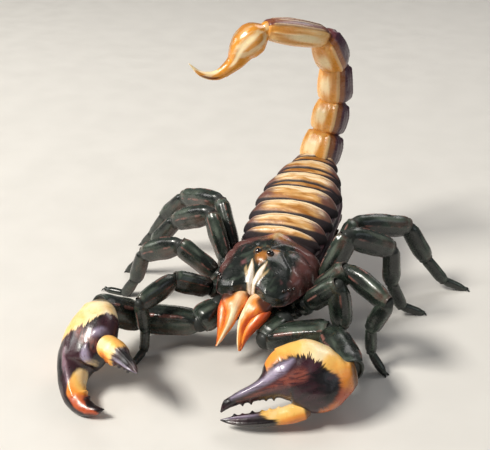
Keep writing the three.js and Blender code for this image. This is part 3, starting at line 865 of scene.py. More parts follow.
shield = {
    "rows": [
        [0.0, 12.3, 6.4, 1.1], [0.04, 13.2, 7.2, 1.4], [0.3, 13.5, 8.0, 1.6], [0.55, 12.8, 7.7, 1.6],
        [0.8, 11.6, 6.4, 1.5], [0.95, 10.5, 5.0, 1.3], [1.0, 9.7, 4.2, 1.0],
    ],
    "notchDepth": 2.6,
    "notchHalf": 4.6,
    "peak": {"reach": 1.8, "height": 1.5},
    "eyeMound": 1.2,
    # paths of painted highlights along the crests from the jaws, and down the midline
    "leaves": [(0.45, 20.8), (0.75, 18.8), (1.5, 16.2), (2.2, 13.6)],
    "prongs": [(0.9, 19.4), (2.2, 17.9), (3.1, 16.4), (3.4, 14.8)],
    "midline": [(0.9, -2.6), (0.5, -1.2), (0.25, 0.4), (0.1, 2.2), (0, 3.8)],
}


def frontShield():
    length = stance["frontLength"]
    shell = Shell(straight(length), shield["rows"], 170, 220, box=2.35, **rounded(0.5, 0.8))
    x, y, z = np.moveaxis(shell.points, 2, 0)
    notch = shield["notchDepth"] * np.clip(1 - (x / shield["notchHalf"]) ** 2, 0, 1)
    front = length - notch - 1.4 * (np.abs(x) / 10) ** 4
    y = y - (length - front) * rise(y, length - 9, length)
    peak = shield["peak"]["reach"] * bell(x, 0, 3.6) * rise(y, 4.5, 0) * rise(z, 2, 6)
    shell.points = np.stack([x, y - peak, z], -1)
    shell.poles[1][1] -= shield["notchDepth"]
    shell.base = shell.points.copy()
    side, top = np.abs(x), rise(np.sin(shell.angle), 0.05, 0.4)
    y = shell.points[..., 1]

    def line(width, *path):
        return np.exp(-((nearPath(side, y, path)[0] / width) ** 2))

    mound = bell(side, 0, 2.7) * np.exp(-(((y - 10.3) / 3.4) ** 4))
    gable = np.exp(-side / 4.2) * (1 - rise(y, 1.5, 8.5))
    furrow = bell(side, 0, 0.5) * (rise(y, 13, 15) + 0.5 * bell(y, 10.3, 3))
    grooves = line(0.6, (1.2, 7.5), (4.2, 5.4), (8.0, 4.0), (11.5, 5.2))
    grooves = grooves + 0.8 * line(0.7, (4.2, 5.4), (5.0, 8.5), (8.5, 12.0), (9.5, 15))
    crest = line(0.9, *shield["leaves"])
    bulges = 0.35 * np.cos((y - 2) * 2 * math.pi / 5.6) * rise(side, 8, 12)
    rim = shell.stripe(0, 7) + shell.stripe(180, 7)
    rear = bell(y, -0.2, 0.9) * top
    relief = shield["eyeMound"] * mound + shield["peak"]["height"] * gable
    relief = relief - 0.5 * furrow - 0.5 * grooves + 0.45 * crest
    shell.lift((relief + bulges + 0.35 * rear + 0.22 * ripple(shell.base, 6, 9)) * top + 0.3 * rim)
    frontEdge = bell(y - front, 0, 0.8) * rise(np.sin(shell.angle), -0.2, 0.2) * rise(side, 1.5, 3.5)
    # painted highlights along the crests from the jaws and down the midline
    leaves = brush(side, y, shield["leaves"], [0.4, 0.75, 0.9, 0.6, 0.05], 0.4) * top
    prongs = brush(side, y, shield["prongs"], [0.3, 0.55, 0.5, 0.05], 0.4) * top
    midline = brush(side, y, shield["midline"], [0.3, 1.1, 1.3, 0.7, 0.1], 0.8) * top
    shell.fields["mark"] = rise(side, 5, 12.5) * (0.7 + 0.3 * rise(y, 20, 5)) + 0.6 * (1 - rise(y, 2.5, 7))
    # ridge: the rear margin and side rims, painted as highlights
    shell.fields["ridge"] = np.clip(0.9 * rear + 0.7 * rim, 0, 1)
    shell.fields["pale"] = np.clip(np.maximum(leaves, 0.5 * prongs) + 0.5 * midline, 0, 1)
    dark = np.clip(0.9 * frontEdge + 0.6 * grooves * top + 0.6 * furrow * top, 0, 1)
    shell.fields["shade"] = dark * (1 - leaves)
    apex = bell(side, 0, 3.0) * (1 - rise(y, 1.0, 5.0)) + bell(side, 0, 1.9) * bell(y, 12.2, 2.4)
    shell.fields["apex"] = (apex + 0.8 * bell(side, 2.6, 1.1) * bell(y, 8.4, 2.4)) * top
    Mould("frontShield").add(shell, frontPlace).make(shieldFinish(), "carapace", "carapace")


frontShield()


eyeLook = {"black": (0.004, 0.003, 0.003), "brown": (0.03, 0.012, 0.006)}


def eyeFinish():
    r = Recipe("blackEye", eyeLook)
    colour = r.paint("black", r.noise(1.4, 2), 0.4, 0.7, "brown")
    rough = r.grain(2.5, 0.04, 0.09, 2)
    return r.finish(colour, rough, r.bumps((r.noise(1.5, 2), 0.00003, 0.1)), coat=1.0, coatRoughness=0.02)


# along, out, up and radius of the small eyes at the shield's front corners
cornerEyes = [(19.4, 9.2, 3.6, 0.55), (18.0, 10.1, 3.4, 0.6), (16.7, 10.9, 3.1, 0.45)]


def eyes():
    gloss = eyeFinish()
    for side, word in sideWords.items():
        centre = atFront(side, eyeSpot["along"], eyeSpot["out"], eyeSpot["up"])
        place = Place(centre, frontPlace.basis)
        Mould(f"middleEye_{word}").add(ball(eyeSpot["radius"]), place).make(gloss, "eyes", f"eye_{word}")
        corner = Mould(f"cornerEyes_{word}")
        for along, out, up, radius in cornerEyes:
            corner.add(ball(radius), Place(atFront(side, along, out, up), frontPlace.basis))
        corner.make(gloss, "eyes")


eyes()
print("stage: front shield and eyes")

# Jaws

jawLook = {
    "orange": (0.86, 0.27, 0.030),
    "red": (0.60, 0.085, 0.014),
    "cream": (1.0, 0.83, 0.54),
    # root: near black for the painted shadow at the jaws' roots and beneath
    "root": (0.045, 0.014, 0.010),
}


def jawFinish():
    r = Recipe("orangeJaw", jawLook)
    streaks = r.noise(0.5, 3, vector=r.stretched(1.3, 0.18, 1.3), bend=0.3)
    outward = r.swayed(r.field("mark"), streaks, 1.1)
    colour = r.paint("orange", outward, 0.48, 0.98, "red")
    # painted highlight: cream along the inner ridge and the top of the finger
    pale = r.swayed(r.field("ridge"), streaks, 1.3)
    colour = r.paint(colour, pale, 0.2, 1.0, "cream", 0.97)
    # painted shadow: near black at the root under the shield's front edge, and beneath
    colour = r.paint(colour, "shade", 0.25, 0.9, "root", 0.95)
    rough = r.grain(0.7, 0.30, 0.42)
    normal = r.bumps((r.noise(0.7, 3, vector=r.stretched(1.4, 0.3, 1.4)), 0.0003, 0.4))
    return r.finish(colour, rough, normal, coat=0.12, coatRoughness=0.2, glow=0.1)


jawShell = jawFinish()
jaws = {  # the points of its lines are inward, forward and up
    "turn": {1: -21, -1: -9},
    "dip": -34,
    "root": (20, 4.2, 0.7),  # along, out and up in the front part
    "handLine": [
        (0, -1.5, 0), (0.3, 1.5, 0.1), (0.9, 4.5, 0.3), (1.5, 7, 0.1), (1.5, 9.5, -0.3),
        (1.0, 12.2, -1.1), (-0.1, 15.5, -2.5),
    ],
    "handRows": [
        [0, 2.6, 0.8, 2.4], [0.10, 3.4, 1.2, 3.0], [0.22, 3.7, 1.9, 3.3], [0.32, 3.1, 2.1, 3.1],
        [0.42, 2.3, 1.9, 2.4], [0.52, 1.75, 1.6, 1.8], [0.66, 1.35, 1.3, 1.4], [0.8, 0.95, 0.9, 1.0],
        [0.92, 0.5, 0.5, 0.5], [1, 0.08, 0.08, 0.08],
    ],
    "fingerLine": [
        (-2.1, 3.0, -0.6), (-1.45, 6.2, -0.7), (-0.7, 9.2, -0.9), (-0.25, 12.2, -1.7), (-0.4, 15.2, -3.0),
    ],
    "fingerRows": [[0, 1.4], [0.2, 1.75], [0.45, 1.45], [0.7, 0.95], [0.88, 0.5], [1, 0.08]],
    "handTeeth": 14,
    "fingerTeeth": 9,
}


def handed(side, path):
    return through(*[(side * x, y, z) for x, y, z in path])


def jawPieces():
    for side, word in sideWords.items():
        place = placeAt(atFront(side, *jaws["root"]), jaws["turn"][side], jaws["dip"])
        line = handed(side, jaws["handLine"])
        hand = Shell(line, jaws["handRows"], 90, 72, box=2.15, **rounded(0.8, 0.1))
        y, outer, up = hand.base[..., 1], -np.cos(hand.angle) * side, np.sin(hand.angle)
        inner = bell(outer, -0.45, 0.42) * rise(up, -0.2, 0.3)
        hand.lift(0.2 * inner + 0.12 * ripple(hand.base, 4, 31))
        teeth = rise(outer, 0.8, 0.95) * rise(hand.t, 0.5, 0.56)
        hand.lift(0.25 * teeth * (0.5 + 0.5 * np.cos(hand.t * 2 * math.pi * jaws["handTeeth"])))
        # ridge: a painted highlight on the inner ridge and toward the tip
        hand.fields["ridge"] = inner * (0.75 + 0.25 * rise(hand.t, 0.3, 0.5)) + 0.25 * rise(hand.t, 0.85, 1)
        hand.fields["mark"] = 0.5 + 0.5 * outer
        # root and shade: painted shadow where the jaw goes in under the shield, and beneath
        root = 1 - rise(y - 1.6 * outer, 1.6, 4.6)
        hand.fields["shade"] = root * (1 - 0.8 * inner) + 0.7 * rise(-up, 0.3, 1)
        Mould(f"jawHand_{word}").add(hand, place).make(jawShell, "chelicerae", f"chelicera_{word}")
        line = handed(side, jaws["fingerLine"])
        rows = [[t, size, size] for t, size in jaws["fingerRows"]]
        finger = Shell(line, rows, 70, 56, box=2.1, **rounded(0.7, 0.1))
        outer = -np.cos(finger.angle) * side
        teeth = rise(-outer, 0.8, 0.95) * rise(finger.t, 0.3, 0.36)
        finger.lift(0.3 * teeth * (0.5 + 0.5 * np.cos(finger.t * 2 * math.pi * jaws["fingerTeeth"])))
        # ridge: a painted highlight along the finger's top
        finger.fields["ridge"] = 0.4 * finger.stripe(90, 26) * rise(finger.t, 0.2, 0.5)
        finger.fields["mark"] = 0.65 + 0.45 * outer
        finger.fields["shade"] = 0.7 * rise(-np.sin(finger.angle), 0.3, 1)
        mould = Mould(f"jawFinger_{word}").add(finger, place)
        mould.make(jawShell, "chelicerae", f"chelicera_{word}_finger")


jawPieces()
print("stage: jaws")

# Limbs: leg bases, legs and the arms of the claws

limbLook = {
    "black": (0.008, 0.011, 0.009),
    "green": (0.034, 0.050, 0.037),
    "grey": (0.13, 0.16, 0.125),
    "brown": (0.105, 0.040, 0.030),
    "pink": (0.27, 0.115, 0.095),
}


def limbFinish():
    r = Recipe("blackGreenLimb", limbLook)
    streaks = r.noise(0.22, 3, vector=r.stretched(1.2, 0.3, 1.2), bend=0.3)
    colour = r.paint("black", streaks, 0.40, 0.62, "green")
    flush = r.noise(0.3, 3, vector=r.stretched(1, 0.2, 1), bend=0.4)
    colour = r.paint(colour, flush, 0.52, 0.70, "brown", 0.6)
    sheen = r.times(r.field("mark"), r.ramp(streaks, 0.35, 0.6, (0.3, 1)))
    colour = r.paint(colour, sheen, 0.2, 0.9, "grey", 0.7)
    # painted highlights: pink along the keels
    edge = r.times(r.field("ridge"), r.ramp(r.noise(0.3, 2), 0.35, 0.6))
    colour = r.paint(colour, edge, 0.3, 0.9, "pink", 0.75)
    colour = r.paint(colour, "shade", 0.2, 1, "black", 0.92)
    matt = r.times(r.field("shade"), 0.5)
    rough = r.added(r.grain(0.6, 0.20, 0.34), matt)
    normal = r.bumps((r.noise(0.5, 3), 0.0003, 0.25), (r.cells(2.2), 0.00004, 0.2))
    return r.finish(colour, rough, normal, coat=0.16, coatRoughness=0.16)


limbShell = limbFinish()
hips = [(14, 12, -4.5), (9, 13.2, -4.5), (4, 14, -4.5), (-1.5, 14, -4.5)]
legScale = [0.88, 0.93, 1, 1.05]
palpHip = (20.5, 9.5, -5)


def limbPart(length, rows, rings=44, sides=48, box=2.3, keels=(), seed=1, reach=0.8):
    # one length of a limb: it starts inside the last one's cuff and ends in a cuff of its own
    rows = [[-reach / length] + [0.72 * v for v in rows[0][1:]]] + rows
    shell = Shell(straight(length), rows, rings, sides, box=box, start=domed(0.4, 4), end=cuffed(0.5, 0.25))
    for degrees, height, width in keels:
        beads = round(length / beadPitch)
        shell.keel(degrees, height, width, start=0.06, end=0.98, beads=beads, beadDepth=0.12)
    shell.lift(0.14 * ripple(shell.base, 6, seed))
    faces = shell.stripe(55, 20) + shell.stripe(125, 20)
    shell.fields["shade"] = np.clip(0.7 * bell(shell.t, 1.01, 0.02) + bell(shell.t, -0.02, 0.05), 0, 1)
    shell.fields["mark"] = faces * bell(shell.t, 0.55, 0.34) + 0.5 * bell(shell.t, 0.95, 0.04)
    return shell


legBase = {
    "keelLength": 22,
    "rows": [[0, 1.5, 2.0], [0.12, 2.3, 2.9], [0.5, 2.8, 3.1], [0.88, 2.8, 3.0], [1, 2.3, 2.5]],
    "keelRows": [
        [0, 6.5, 1.4, 3.2], [0.15, 8.6, 1.8, 4.4], [0.5, 8.4, 1.8, 5.2],
        [0.85, 7.2, 1.8, 4.8], [1, 5, 1.2, 3.2],
    ],
}


def legBases():
    mould = Mould("legBases")
    keels = [(250, 0.3, 8), (290, 0.3, 8), (90, 0.25, 8)]
    for side in sideWords:
        for along, out, up in [*hips, palpHip]:
            root = atFront(side, along - 2.2, 3.6, up - 1.4)
            tip = atFront(side, along, out - 0.2, up)
            toward = tip - root
            heading = math.degrees(math.atan2(toward[0], -toward[1]))
            lift = math.degrees(math.asin(toward[2] / np.linalg.norm(toward)))
            length = float(np.linalg.norm(toward))
            shell = limbPart(length, legBase["rows"], 40, 44, 2.3, keels, int(out + along))
            mould.add(shell, placeAt(root, heading, lift))
    middle = placeAt(atFront(1, -2.5, 0, -4), stance["frontTurn"], -stance["frontPitch"])
    line = straight(legBase["keelLength"])
    keel = Shell(line, legBase["keelRows"], 60, 80, box=2.4, **rounded(1.2, 1.2))
    under = rise(-np.sin(keel.angle), 0.3, 0.9)
    x, y = keel.base[..., 0], keel.base[..., 1]
    seams = 0.7 * bell(np.abs(x), 0, 0.5) + 0.5 * bell(np.abs(x) - 2.6 + 0.12 * y, 0, 0.4)
    keel.lift(-seams * under)
    mould.add(keel, middle)
    mould.make(limbShell, "limbs", "coxosternum")


legBases()

legLengths = [
    [15, 12.5, 9, 6.5, 6],
    [16.5, 14.5, 10.5, 7.5, 6.5],
    [18, 16, 11.5, 9, 7],
    [20, 18.5, 12.5, 10, 7.5],
]
# headings of femur, patella and foot, then elevations of femur, patella, tibia and basitarsus
legPose = {
    1: [
        [[78, 95, -5], [44, -83, -52, -20]],
        [[75, 60, 65], [50, -15, -115, -85]],
        [[125, 130, 115], [65, -25, -85, -65]],
        [[165, 125, 105], [35, -10, -60, -50]],
    ],
    -1: [
        [[-50, -25, -10], [25, -10, -100, -80]],
        [[-90, -100, -95], [35, -25, -70, -55]],
        [[-130, -110, -90], [55, -25, -50, -52]],
        [[-140, -120, -105], [45, -15, -45, -55]],
    ],
}
footHeight = 0.4
trochanterShare = 0.21  # of the first length, the rest is the femur
legJoints = {"femur": 1.6, "patella": 1.75, "tibia": 1.6, "basitarsus": 1.25, "tarsus": 1.0}
legRows = {
    "trochanter": [[0, 1.9, 2.2], [0.3, 2.5, 2.9], [0.75, 2.5, 3.0], [1, 2.0, 2.4]],
    "femur": [[0, 1.6, 2.2], [0.1, 2.0, 2.9], [0.35, 2.25, 3.3], [0.85, 2.25, 3.3], [1, 1.8, 2.6]],
    "patella": [[0, 1.5, 2.1], [0.1, 2.1, 2.8], [0.4, 2.35, 3.35], [0.85, 2.1, 2.95], [1, 1.65, 2.3]],
    "tibia": [[0, 1.3, 1.7], [0.15, 1.8, 2.35], [0.75, 1.85, 2.5], [1, 1.5, 2.0]],
    "basitarsus": [[0, 1.0, 1.3], [0.15, 1.35, 1.75], [0.8, 1.4, 1.8], [1, 1.15, 1.45]],
    "tarsus": [[0, 0.8, 1.0], [0.2, 1.15, 1.35], [0.75, 1.05, 1.2], [1, 0.7, 0.8]],
}
legKeels = {
    "femur": [(90, 0.35, 8), (245, 0.32, 8), (295, 0.32, 8), (20, 0.18, 7), (160, 0.18, 7)],
    "patella": [(90, 0.32, 8), (245, 0.3, 8), (295, 0.3, 8), (10, 0.2, 7), (170, 0.2, 7)],
    "tibia": [(90, 0.2, 9), (270, 0.2, 9)],
}


def scaledRows(rows, k):
    return [[row[0]] + [k * v for v in row[1:]] for row in rows]


def footClaws(mould, place, length, k):  # two curved claws
    rows = [[0, 0.34 * k, 0.34 * k], [0.6, 0.22 * k, 0.22 * k], [1, 0.05, 0.05]]
    for side in (1, -1):
        root = [side * 0.3 * k, length - 0.2, 0.2]
        middle = [side * 0.7 * k, length + 0.8 * k, 0.35]
        tip = [side * 0.95 * k, length + 1.5 * k, -0.35 * k]
        hook = Shell(through(root, middle, tip), rows, 14, 12, **rounded(0.1, 0.05, 3))
        hook.fields["shade"] = np.ones_like(hook.t)
        mould.add(hook, place)


def legs():
    for side, word in sideWords.items():
        for i, (headings, elevations) in enumerate(legPose[side]):
            k, start, places = legScale[i], atFront(side, *hips[i]), []
            for n, length in enumerate(legLengths[i]):
                drop = max(-1, min(1, (footHeight - start[2]) / length))
                elevation = elevations[n] if n < 4 else math.degrees(math.asin(drop))
                places.append(placeAt(start, headings[min(n, 2)], elevation))
                start = places[-1].points([0, length, 0])
            name, node = f"leg{i + 1}_{word}", f"leg_{word}_{i + 1}"
            sizes = {part: scaledRows(rows, k) for part, rows in legRows.items()}
            first = legLengths[i][0]
            split = trochanterShare * first
            rest = Place(places[0].points([0, split, 0]), places[0].basis)
            mould = Mould(f"{name}_femur")
            mould.add(limbPart(split, sizes["trochanter"], 30, 44, seed=i), places[0])
            mould.add(limbPart(first - split, sizes["femur"], 56, 52, 2.4, legKeels["femur"], i + 3), rest)
            jointBall(mould, rest, legJoints["femur"] * k)
            mould.make(limbShell, "limbs", f"{node}_femur")
            mould = Mould(f"{name}_patella")
            shell = limbPart(legLengths[i][1], sizes["patella"], 52, 52, 2.4, legKeels["patella"], i + 7)
            mould.add(shell, places[1])
            jointBall(mould, places[1], legJoints["patella"] * k)
            mould.make(limbShell, "limbs", f"{node}_patella")
            mould = Mould(f"{name}_foot")
            for n, part in ((2, "tibia"), (3, "basitarsus"), (4, "tarsus")):
                keels = legKeels.get(part, ())
                shell = limbPart(legLengths[i][n], sizes[part], 40, 40, 2.2, keels, i + 9, 0.6)
                mould.add(shell, places[n])
                jointBall(mould, places[n], legJoints[part] * k)
            footClaws(mould, places[4], legLengths[i][4], k)
            mould.make(limbShell, "limbs", f"{node}_foot")


legs()
print("stage: legs")

# Claws and their arms

palpLengths = [7, 17, 15.5, 19.5]
palpPose = {
    1: [[-30, -27, 0], [95, 14, 0], [33, -2, 0], [-64, -8, -50]],
    -1: [[-40, -28, 0], [-87, -5, 0], [-34, 33, 0], [15, -25, 38]],
}
palpRows = {
    "trochanter": [[0, 2.4, 2.4], [0.25, 3.3, 3.3], [0.7, 3.9, 4.0], [1, 3.2, 3.3]],
    "femur": [[0, 2.2, 2.3], [0.1, 3.2, 3.2], [0.5, 3.6, 3.8], [0.85, 3.75, 3.95], [1, 3.2, 3.3]],
    "patella": [[0, 2.5, 2.5], [0.1, 3.6, 3.4], [0.4, 4.4, 4.2], [0.82, 4.1, 4.0], [1, 3.3, 3.2]],
}
palpKeels = {
    "trochanter": [(60, 0.25, 9), (240, 0.25, 9)],
    "femur": [(45, 0.35, 9), (135, 0.35, 9), (230, 0.32, 8), (310, 0.32, 8)],
    "patella": [(40, 0.35, 9), (140, 0.35, 9), (230, 0.32, 8), (310, 0.32, 8)],
}
palpJoint = 2.75
clawPlaces = {}


def arms():
    for side, word in sideWords.items():
        start = atFront(side, *palpHip)
        for i, part in enumerate(("trochanter", "femur", "patella")):
            place = placeAt(start, *palpPose[side][i])
            shell = limbPart(palpLengths[i], palpRows[part], 72, 84, 2.3, palpKeels[part], i + 50, 1.0)
            mould = Mould(f"arm_{word}_{part}").add(shell, place)
            jointBall(mould, place, palpJoint)
            mould.make(limbShell, "limbs", f"palp_{word}_{part}")
            start = place.points([0, palpLengths[i], 0])
        clawPlaces[side] = placeAt(start, *palpPose[side][3])


arms()

clawLook = {
    "black": (0.005, 0.003, 0.004),
    "plum": (0.050, 0.014, 0.022),
    "lilac": (0.36, 0.30, 0.42),
    "russet": (0.24, 0.065, 0.045),
    "cream": (1.0, 0.82, 0.50),
    "gold": (0.97, 0.56, 0.14),
    "orange": (0.88, 0.30, 0.035),
    "red": (0.48, 0.085, 0.028),
    "rim": (0.36, 0.22, 0.19),
}


def clawFinish():
    r = Recipe("blackAndOrangeClaw", clawLook)
    broad = r.times(r.less(r.noise(0.25, 3, bend=0.4), 0.5), 0.55)
    heat = r.added(r.field("warm"), broad)
    warm = r.paint("cream", heat, -0.1, 0.22, "gold")
    warm = r.paint(warm, heat, 0.2, 0.6, "orange")
    warm = r.paint(warm, heat, 0.6, 1.05, "red")
    warm = r.paint(warm, "rim", 0.2, 0.9, "rim", 0.85)
    strands = r.noise(1.3, 3, 0.6, vector=r.field("streak"))
    fine = r.noise(3.2, 2, 0.5, vector=r.field("streak"))
    fringe = r.swayed(r.less(strands, 0.5), fine, 0.5)
    edge = r.times(fringe, r.added(r.times(r.field("feather"), 0.8), 0.12))
    reach = r.added(r.field("mark"), edge)
    sharp, soft = r.ramp(reach, -0.05, 0.05), r.ramp(reach, -0.16, 0.13)
    blend = r.times(r.less(sharp, soft), r.field("feather"))
    darkness = r.added(soft, blend)
    cloud = r.noise(0.22, 3, vector=r.stretched(1, 0.4, 1), bend=0.5)
    dark = r.paint("black", cloud, 0.42, 0.65, "plum", 0.9)
    strokes = r.noise(0.9, 3, vector=r.stretched(2.2, 0.35, 1))
    dark = r.mix(r.times(r.field("russet"), r.ramp(strokes, 0.3, 0.6)), dark, "russet")
    gleam = r.times(r.field("ridge"), r.ramp(strokes, 0.25, 0.55, (0.25, 0.95)))
    dark = r.mix(gleam, dark, "lilac")
    colour = r.mix(darkness, warm, dark)
    colour = r.paint(colour, "shade", 0.2, 1, "black", 0.8)
    rough = r.grain(0.8, 0.26, 0.38)
    normal = r.bumps((r.noise(0.45, 3), 0.0004, 0.3), (r.cells(2.4), 0.00005, 0.2))
    return r.finish(colour, rough, normal, coat=0.25, coatRoughness=0.14, glow=0.05)


clawShell = clawFinish()
# rows are placed along the hand and its fixed finger, whose root is at 3 and whose tip is at handEnd,
# and along the moving finger, whose tip is at fingerEnd
claw = {
    "handEnd": 11,
    "fingerEnd": 9,
    1: {
        "palm": [(0, -0.6), (0, 4), (0.2, 9)],
        "root": (1.2, 14.5), "length": 19, "start": 0, "turn": 38, "bend": 1.6, "droop": 1,
        "right": [
            [0, 2.6], [0.3, 2.8], [0.75, 5.7], [1.5, 8.2], [2.3, 9.0], [3, 8.2], [3.8, 7.5], [4.6, 6.2],
            [5.2, 4.7], [5.6, 3.0], [6.1, 1.8], [7, 1.15], [8, 1.0], [9, 1.1], [10, 1.4],
            [10.6, 0.8], [11, 0.2],
        ],
        "left": [
            [0, 3.8], [0.5, 5.6], [1.3, 7.9], [2, 8.4], [2.8, 6.9], [3.6, 5.6], [4.5, 4.2], [6, 3.5],
            [8, 2.4], [9, 1.6], [10, 0.9], [11, 0.2],
        ],
        "above": [
            [0, 2.4], [0.3, 3.8], [1, 4.9], [2, 5.9], [3, 5.6], [4, 4.9], [5, 4.0], [6, 3.2],
            [8, 2.2], [10, 1.2], [10.6, 0.75], [11, 0.2],
        ],
        "moving": {"root": (-7, 14.2), "length": 19, "start": 6, "turn": -22, "bend": 1, "droop": 1.5},
    },
    -1: {
        "palm": [(0, -0.6), (0.4, 4), (1.7, 9)],
        "root": (4.2, 14.5), "length": 21, "start": -22, "turn": 118, "bend": 1.2, "droop": 4,
        "right": [
            [0, 2.7], [0.5, 4.7], [1.3, 6.9], [2, 7.1], [2.4, 6.6], [3, 5.2], [4, 4.0], [5, 3.4],
            [7, 2.8], [9, 2.1], [10, 1.4], [10.6, 0.8], [11, 0.2],
        ],
        "left": [
            [0, 3.8], [0.5, 5.8], [1.3, 8.6], [2, 9.5], [2.5, 9.3], [3.0, 7.8], [3.5, 6.2], [4.0, 5.1],
            [4.5, 4.6], [5.2, 4.4], [6, 4.1], [7, 3.5], [8, 2.9], [9, 2.2], [10, 1.3], [11, 0.2],
        ],
        "above": [
            [0, 2.4], [0.3, 3.8], [1, 4.9], [2, 5.9], [3, 5.6], [4, 4.9], [5, 4.0], [6, 3.3],
            [8, 2.4], [10, 1.3], [10.6, 0.75], [11, 0.2],
        ],
        "moving": {"root": (-6.6, 14.2), "length": 16, "start": 55, "turn": -14, "bend": 1, "droop": 1},
    },
    "finger": {
        1: [
            [0, 1.8], [0.5, 2.3], [1.5, 2.35], [3, 1.95], [5, 1.75],
            [7, 1.3], [8, 0.8], [8.6, 0.45], [9, 0.15],
        ],
        -1: [
            [0, 1.9], [0.5, 2.6], [1.5, 3.0], [3, 3.0], [4.4, 2.6],
            [5.2, 2.05], [7, 1.4], [8.4, 0.7], [9, 0.15],
        ],
    },
    "knots": [
        0, 0.3, 0.6, 1, 1.5, 2, 2.4, 2.8, 3.2, 3.7, 4.2, 4.6,
        5, 5.4, 5.8, 6.3, 7, 8, 9, 9.6, 10, 10.4, 10.7, 11,
    ],
}


def fingerPath(shape, steps=8):  # points of an arc in the claw's plane, sinking towards its tip
    points = [np.array([*shape["root"], 0.0])]
    for i in range(steps):
        a = math.radians(shape["start"] + shape["turn"] * ((i + 0.5) / steps) ** shape["bend"])
        step = np.array([-math.sin(a), math.cos(a), 0]) * shape["length"] / steps
        points.append(points[-1] + step)
        points[-1][2] = -shape["droop"] * ((i + 1) / steps) ** 2
    return points


# where the dark of the palms meets their glow, and how the glow turns from cream at 0 to red at 1
leftPalm = {
    "centre": (-1.5, 12),
    "edge": [  # degrees round the centre and the radius where the dark ends
        [-180, 9.0], [-159, 6.6], [-132, 7.4], [-111, 8.2], [-90, 8.6], [-69, 6.8], [-42, 6.4],
        [-9, 7.2], [16, 7.8], [37, 8.6], [65, 9.9], [90, 14], [120, 14], [180, 9.0],
    ],
    "warm": [
        [-180, 0.8], [-150, 0.9], [-110, 1.0], [-80, 0.45], [-40, 0.0], [-10, 0.1],
        [20, 0.35], [46, 0.6], [75, 0.75], [100, 0.7], [180, 0.8],
    ],
    # pale: the path of a painted highlight along the fixed finger's upper ridge; rust: a russet stroke
    # below it
    "pale": [(5.0, 13.6), (3.6, 16.4), (1.6, 20.5), (0.2, 24.8), (-0.9, 29.4)],
    "rust": [(1.2, 12.5), (0.6, 16), (-0.4, 20), (-1.4, 24.5), (-1.8, 28)],
}
rightPalm = {
    # places across the palm and how far along it the dark begins
    "edge": [[-8, 5.0], [-6.4, 5.9], [-4.8, 7.6], [-1.2, 9.4], [3.6, 10.5], [6.3, 11.8], [9, 14.0]],
    "patch": [  # the middle line of the glow on the fixed finger
        (-4.6, 17.5), (-2.2, 18.3), (0, 20), (0.9, 22.3),
        (1.9, 25.0), (0.8, 27.6), (-0.9, 29.5), (-3.8, 30.5),
    ],
    "patchHalf": [
        [0, 0.1], [0.16, 0.8], [0.32, 1.7], [0.48, 2.0], [0.64, 1.6], [0.76, 1.3], [0.86, 0.8], [1, 0.2],
    ],
    "patchWarm": [[0, 0.0], [0.3, 0.0], [0.48, 0.25], [0.64, 0.9], [1, 1.1]],
    # gleam and knuckle: paths of painted highlights
    "gleam": [(-3.4, 14.6), (-1.9, 18.1), (-0.7, 20.6)],
    "knuckle": [(-6.6, 10.6), (-5.0, 12.2)],
    "dusk": [(3.4, 14), (3.6, 19), (3.0, 23.4), (2.0, 26)],
    "plum": [(-1.5, 10.8), (-3.5, 12.5), (-4.8, 14.8)],
}


def readRows(x, rows):  # a straight-line reading of [x, value] rows
    return np.interp(x, *zip(*rows))


def leftPalmFields(x, y, along):
    fromX, fromY = x - leftPalm["centre"][0], y - leftPalm["centre"][1]
    turn, radius = np.arctan2(fromY, fromX), np.hypot(fromX, fromY)
    edge = readRows(np.degrees(turn), leftPalm["edge"])
    return {
        "mark": np.maximum((edge - radius) / 6, rise(along, 4.6, 5.6) * 1.5 - 1),
        "warm": readRows(np.degrees(turn), leftPalm["warm"]),
        "feather": 0.1 + 0.9 * bell(turnTo(turn, -25), 0, 42),
        "rim": bell(turnTo(turn, -150), 0, 26) * rise(radius, 7.5, 9.0),
        "streak": np.stack([8.5 * np.cos(turn), 8.5 * np.sin(turn), 0.10 * radius], -1),
        "ridge": brush(x, y, leftPalm["pale"], [0.4, 1.3, 0.9, 0.6, 0.5, 0.2], 0.7),
        "russet": brush(x, y, leftPalm["rust"], [1.6, 1.3, 0.5, 0.4, 0.2], 0.9),
    }


def rightPalmFields(x, y, z):
    far, reach = nearPath(x, y, rightPalm["patch"])
    palm = 0.15 * rise(x, -2, 3) + 0.55 * rise(x, 3, 9)
    patch = readRows(reach, rightPalm["patchWarm"]) + 0.2 * rise(x - 1, 0, 2)
    gleam = brush(x, y, rightPalm["gleam"], [0.2, 0.75, 0.9, 0.5, 0.1], 0.5)
    gleam = gleam + 0.9 * brush(x, y, rightPalm["knuckle"], [0.5, 0.9, 0.4], 0.8)
    dusk = brush(x, y, rightPalm["dusk"], [0.3, 0.7, 0.5, 0.2], 0.5)
    plum = brush(x, y, rightPalm["plum"], [1.2, 1.7, 0.8], 1.2)
    inPatch = (far - readRows(reach, rightPalm["patchHalf"])) / 2.2
    return {
        "mark": np.minimum((y - readRows(x, rightPalm["edge"])) / 6, inPatch),
        "warm": np.where(y > 16, patch, palm),
        "feather": (0.15 + 0.85 * bell(x, -2.5, 4.0)) * (1 - rise(y, 13, 16)),
        "rim": 0 * x,
        "streak": np.stack([1.1 * x, 0.10 * y, 1.1 * z], -1),
        "ridge": np.clip(gleam + 0.4 * dusk, 0, 1),
        "russet": np.clip(plum + 0.7 * dusk, 0, 1),
    }


def bite(along, share, pitch):  # how high the teeth stand along a finger, share is their swell
    return 0.15 + 0.75 * np.clip(share, 0, 1) * (0.5 + 0.5 * np.cos(along * 2 * math.pi * pitch)) ** 2


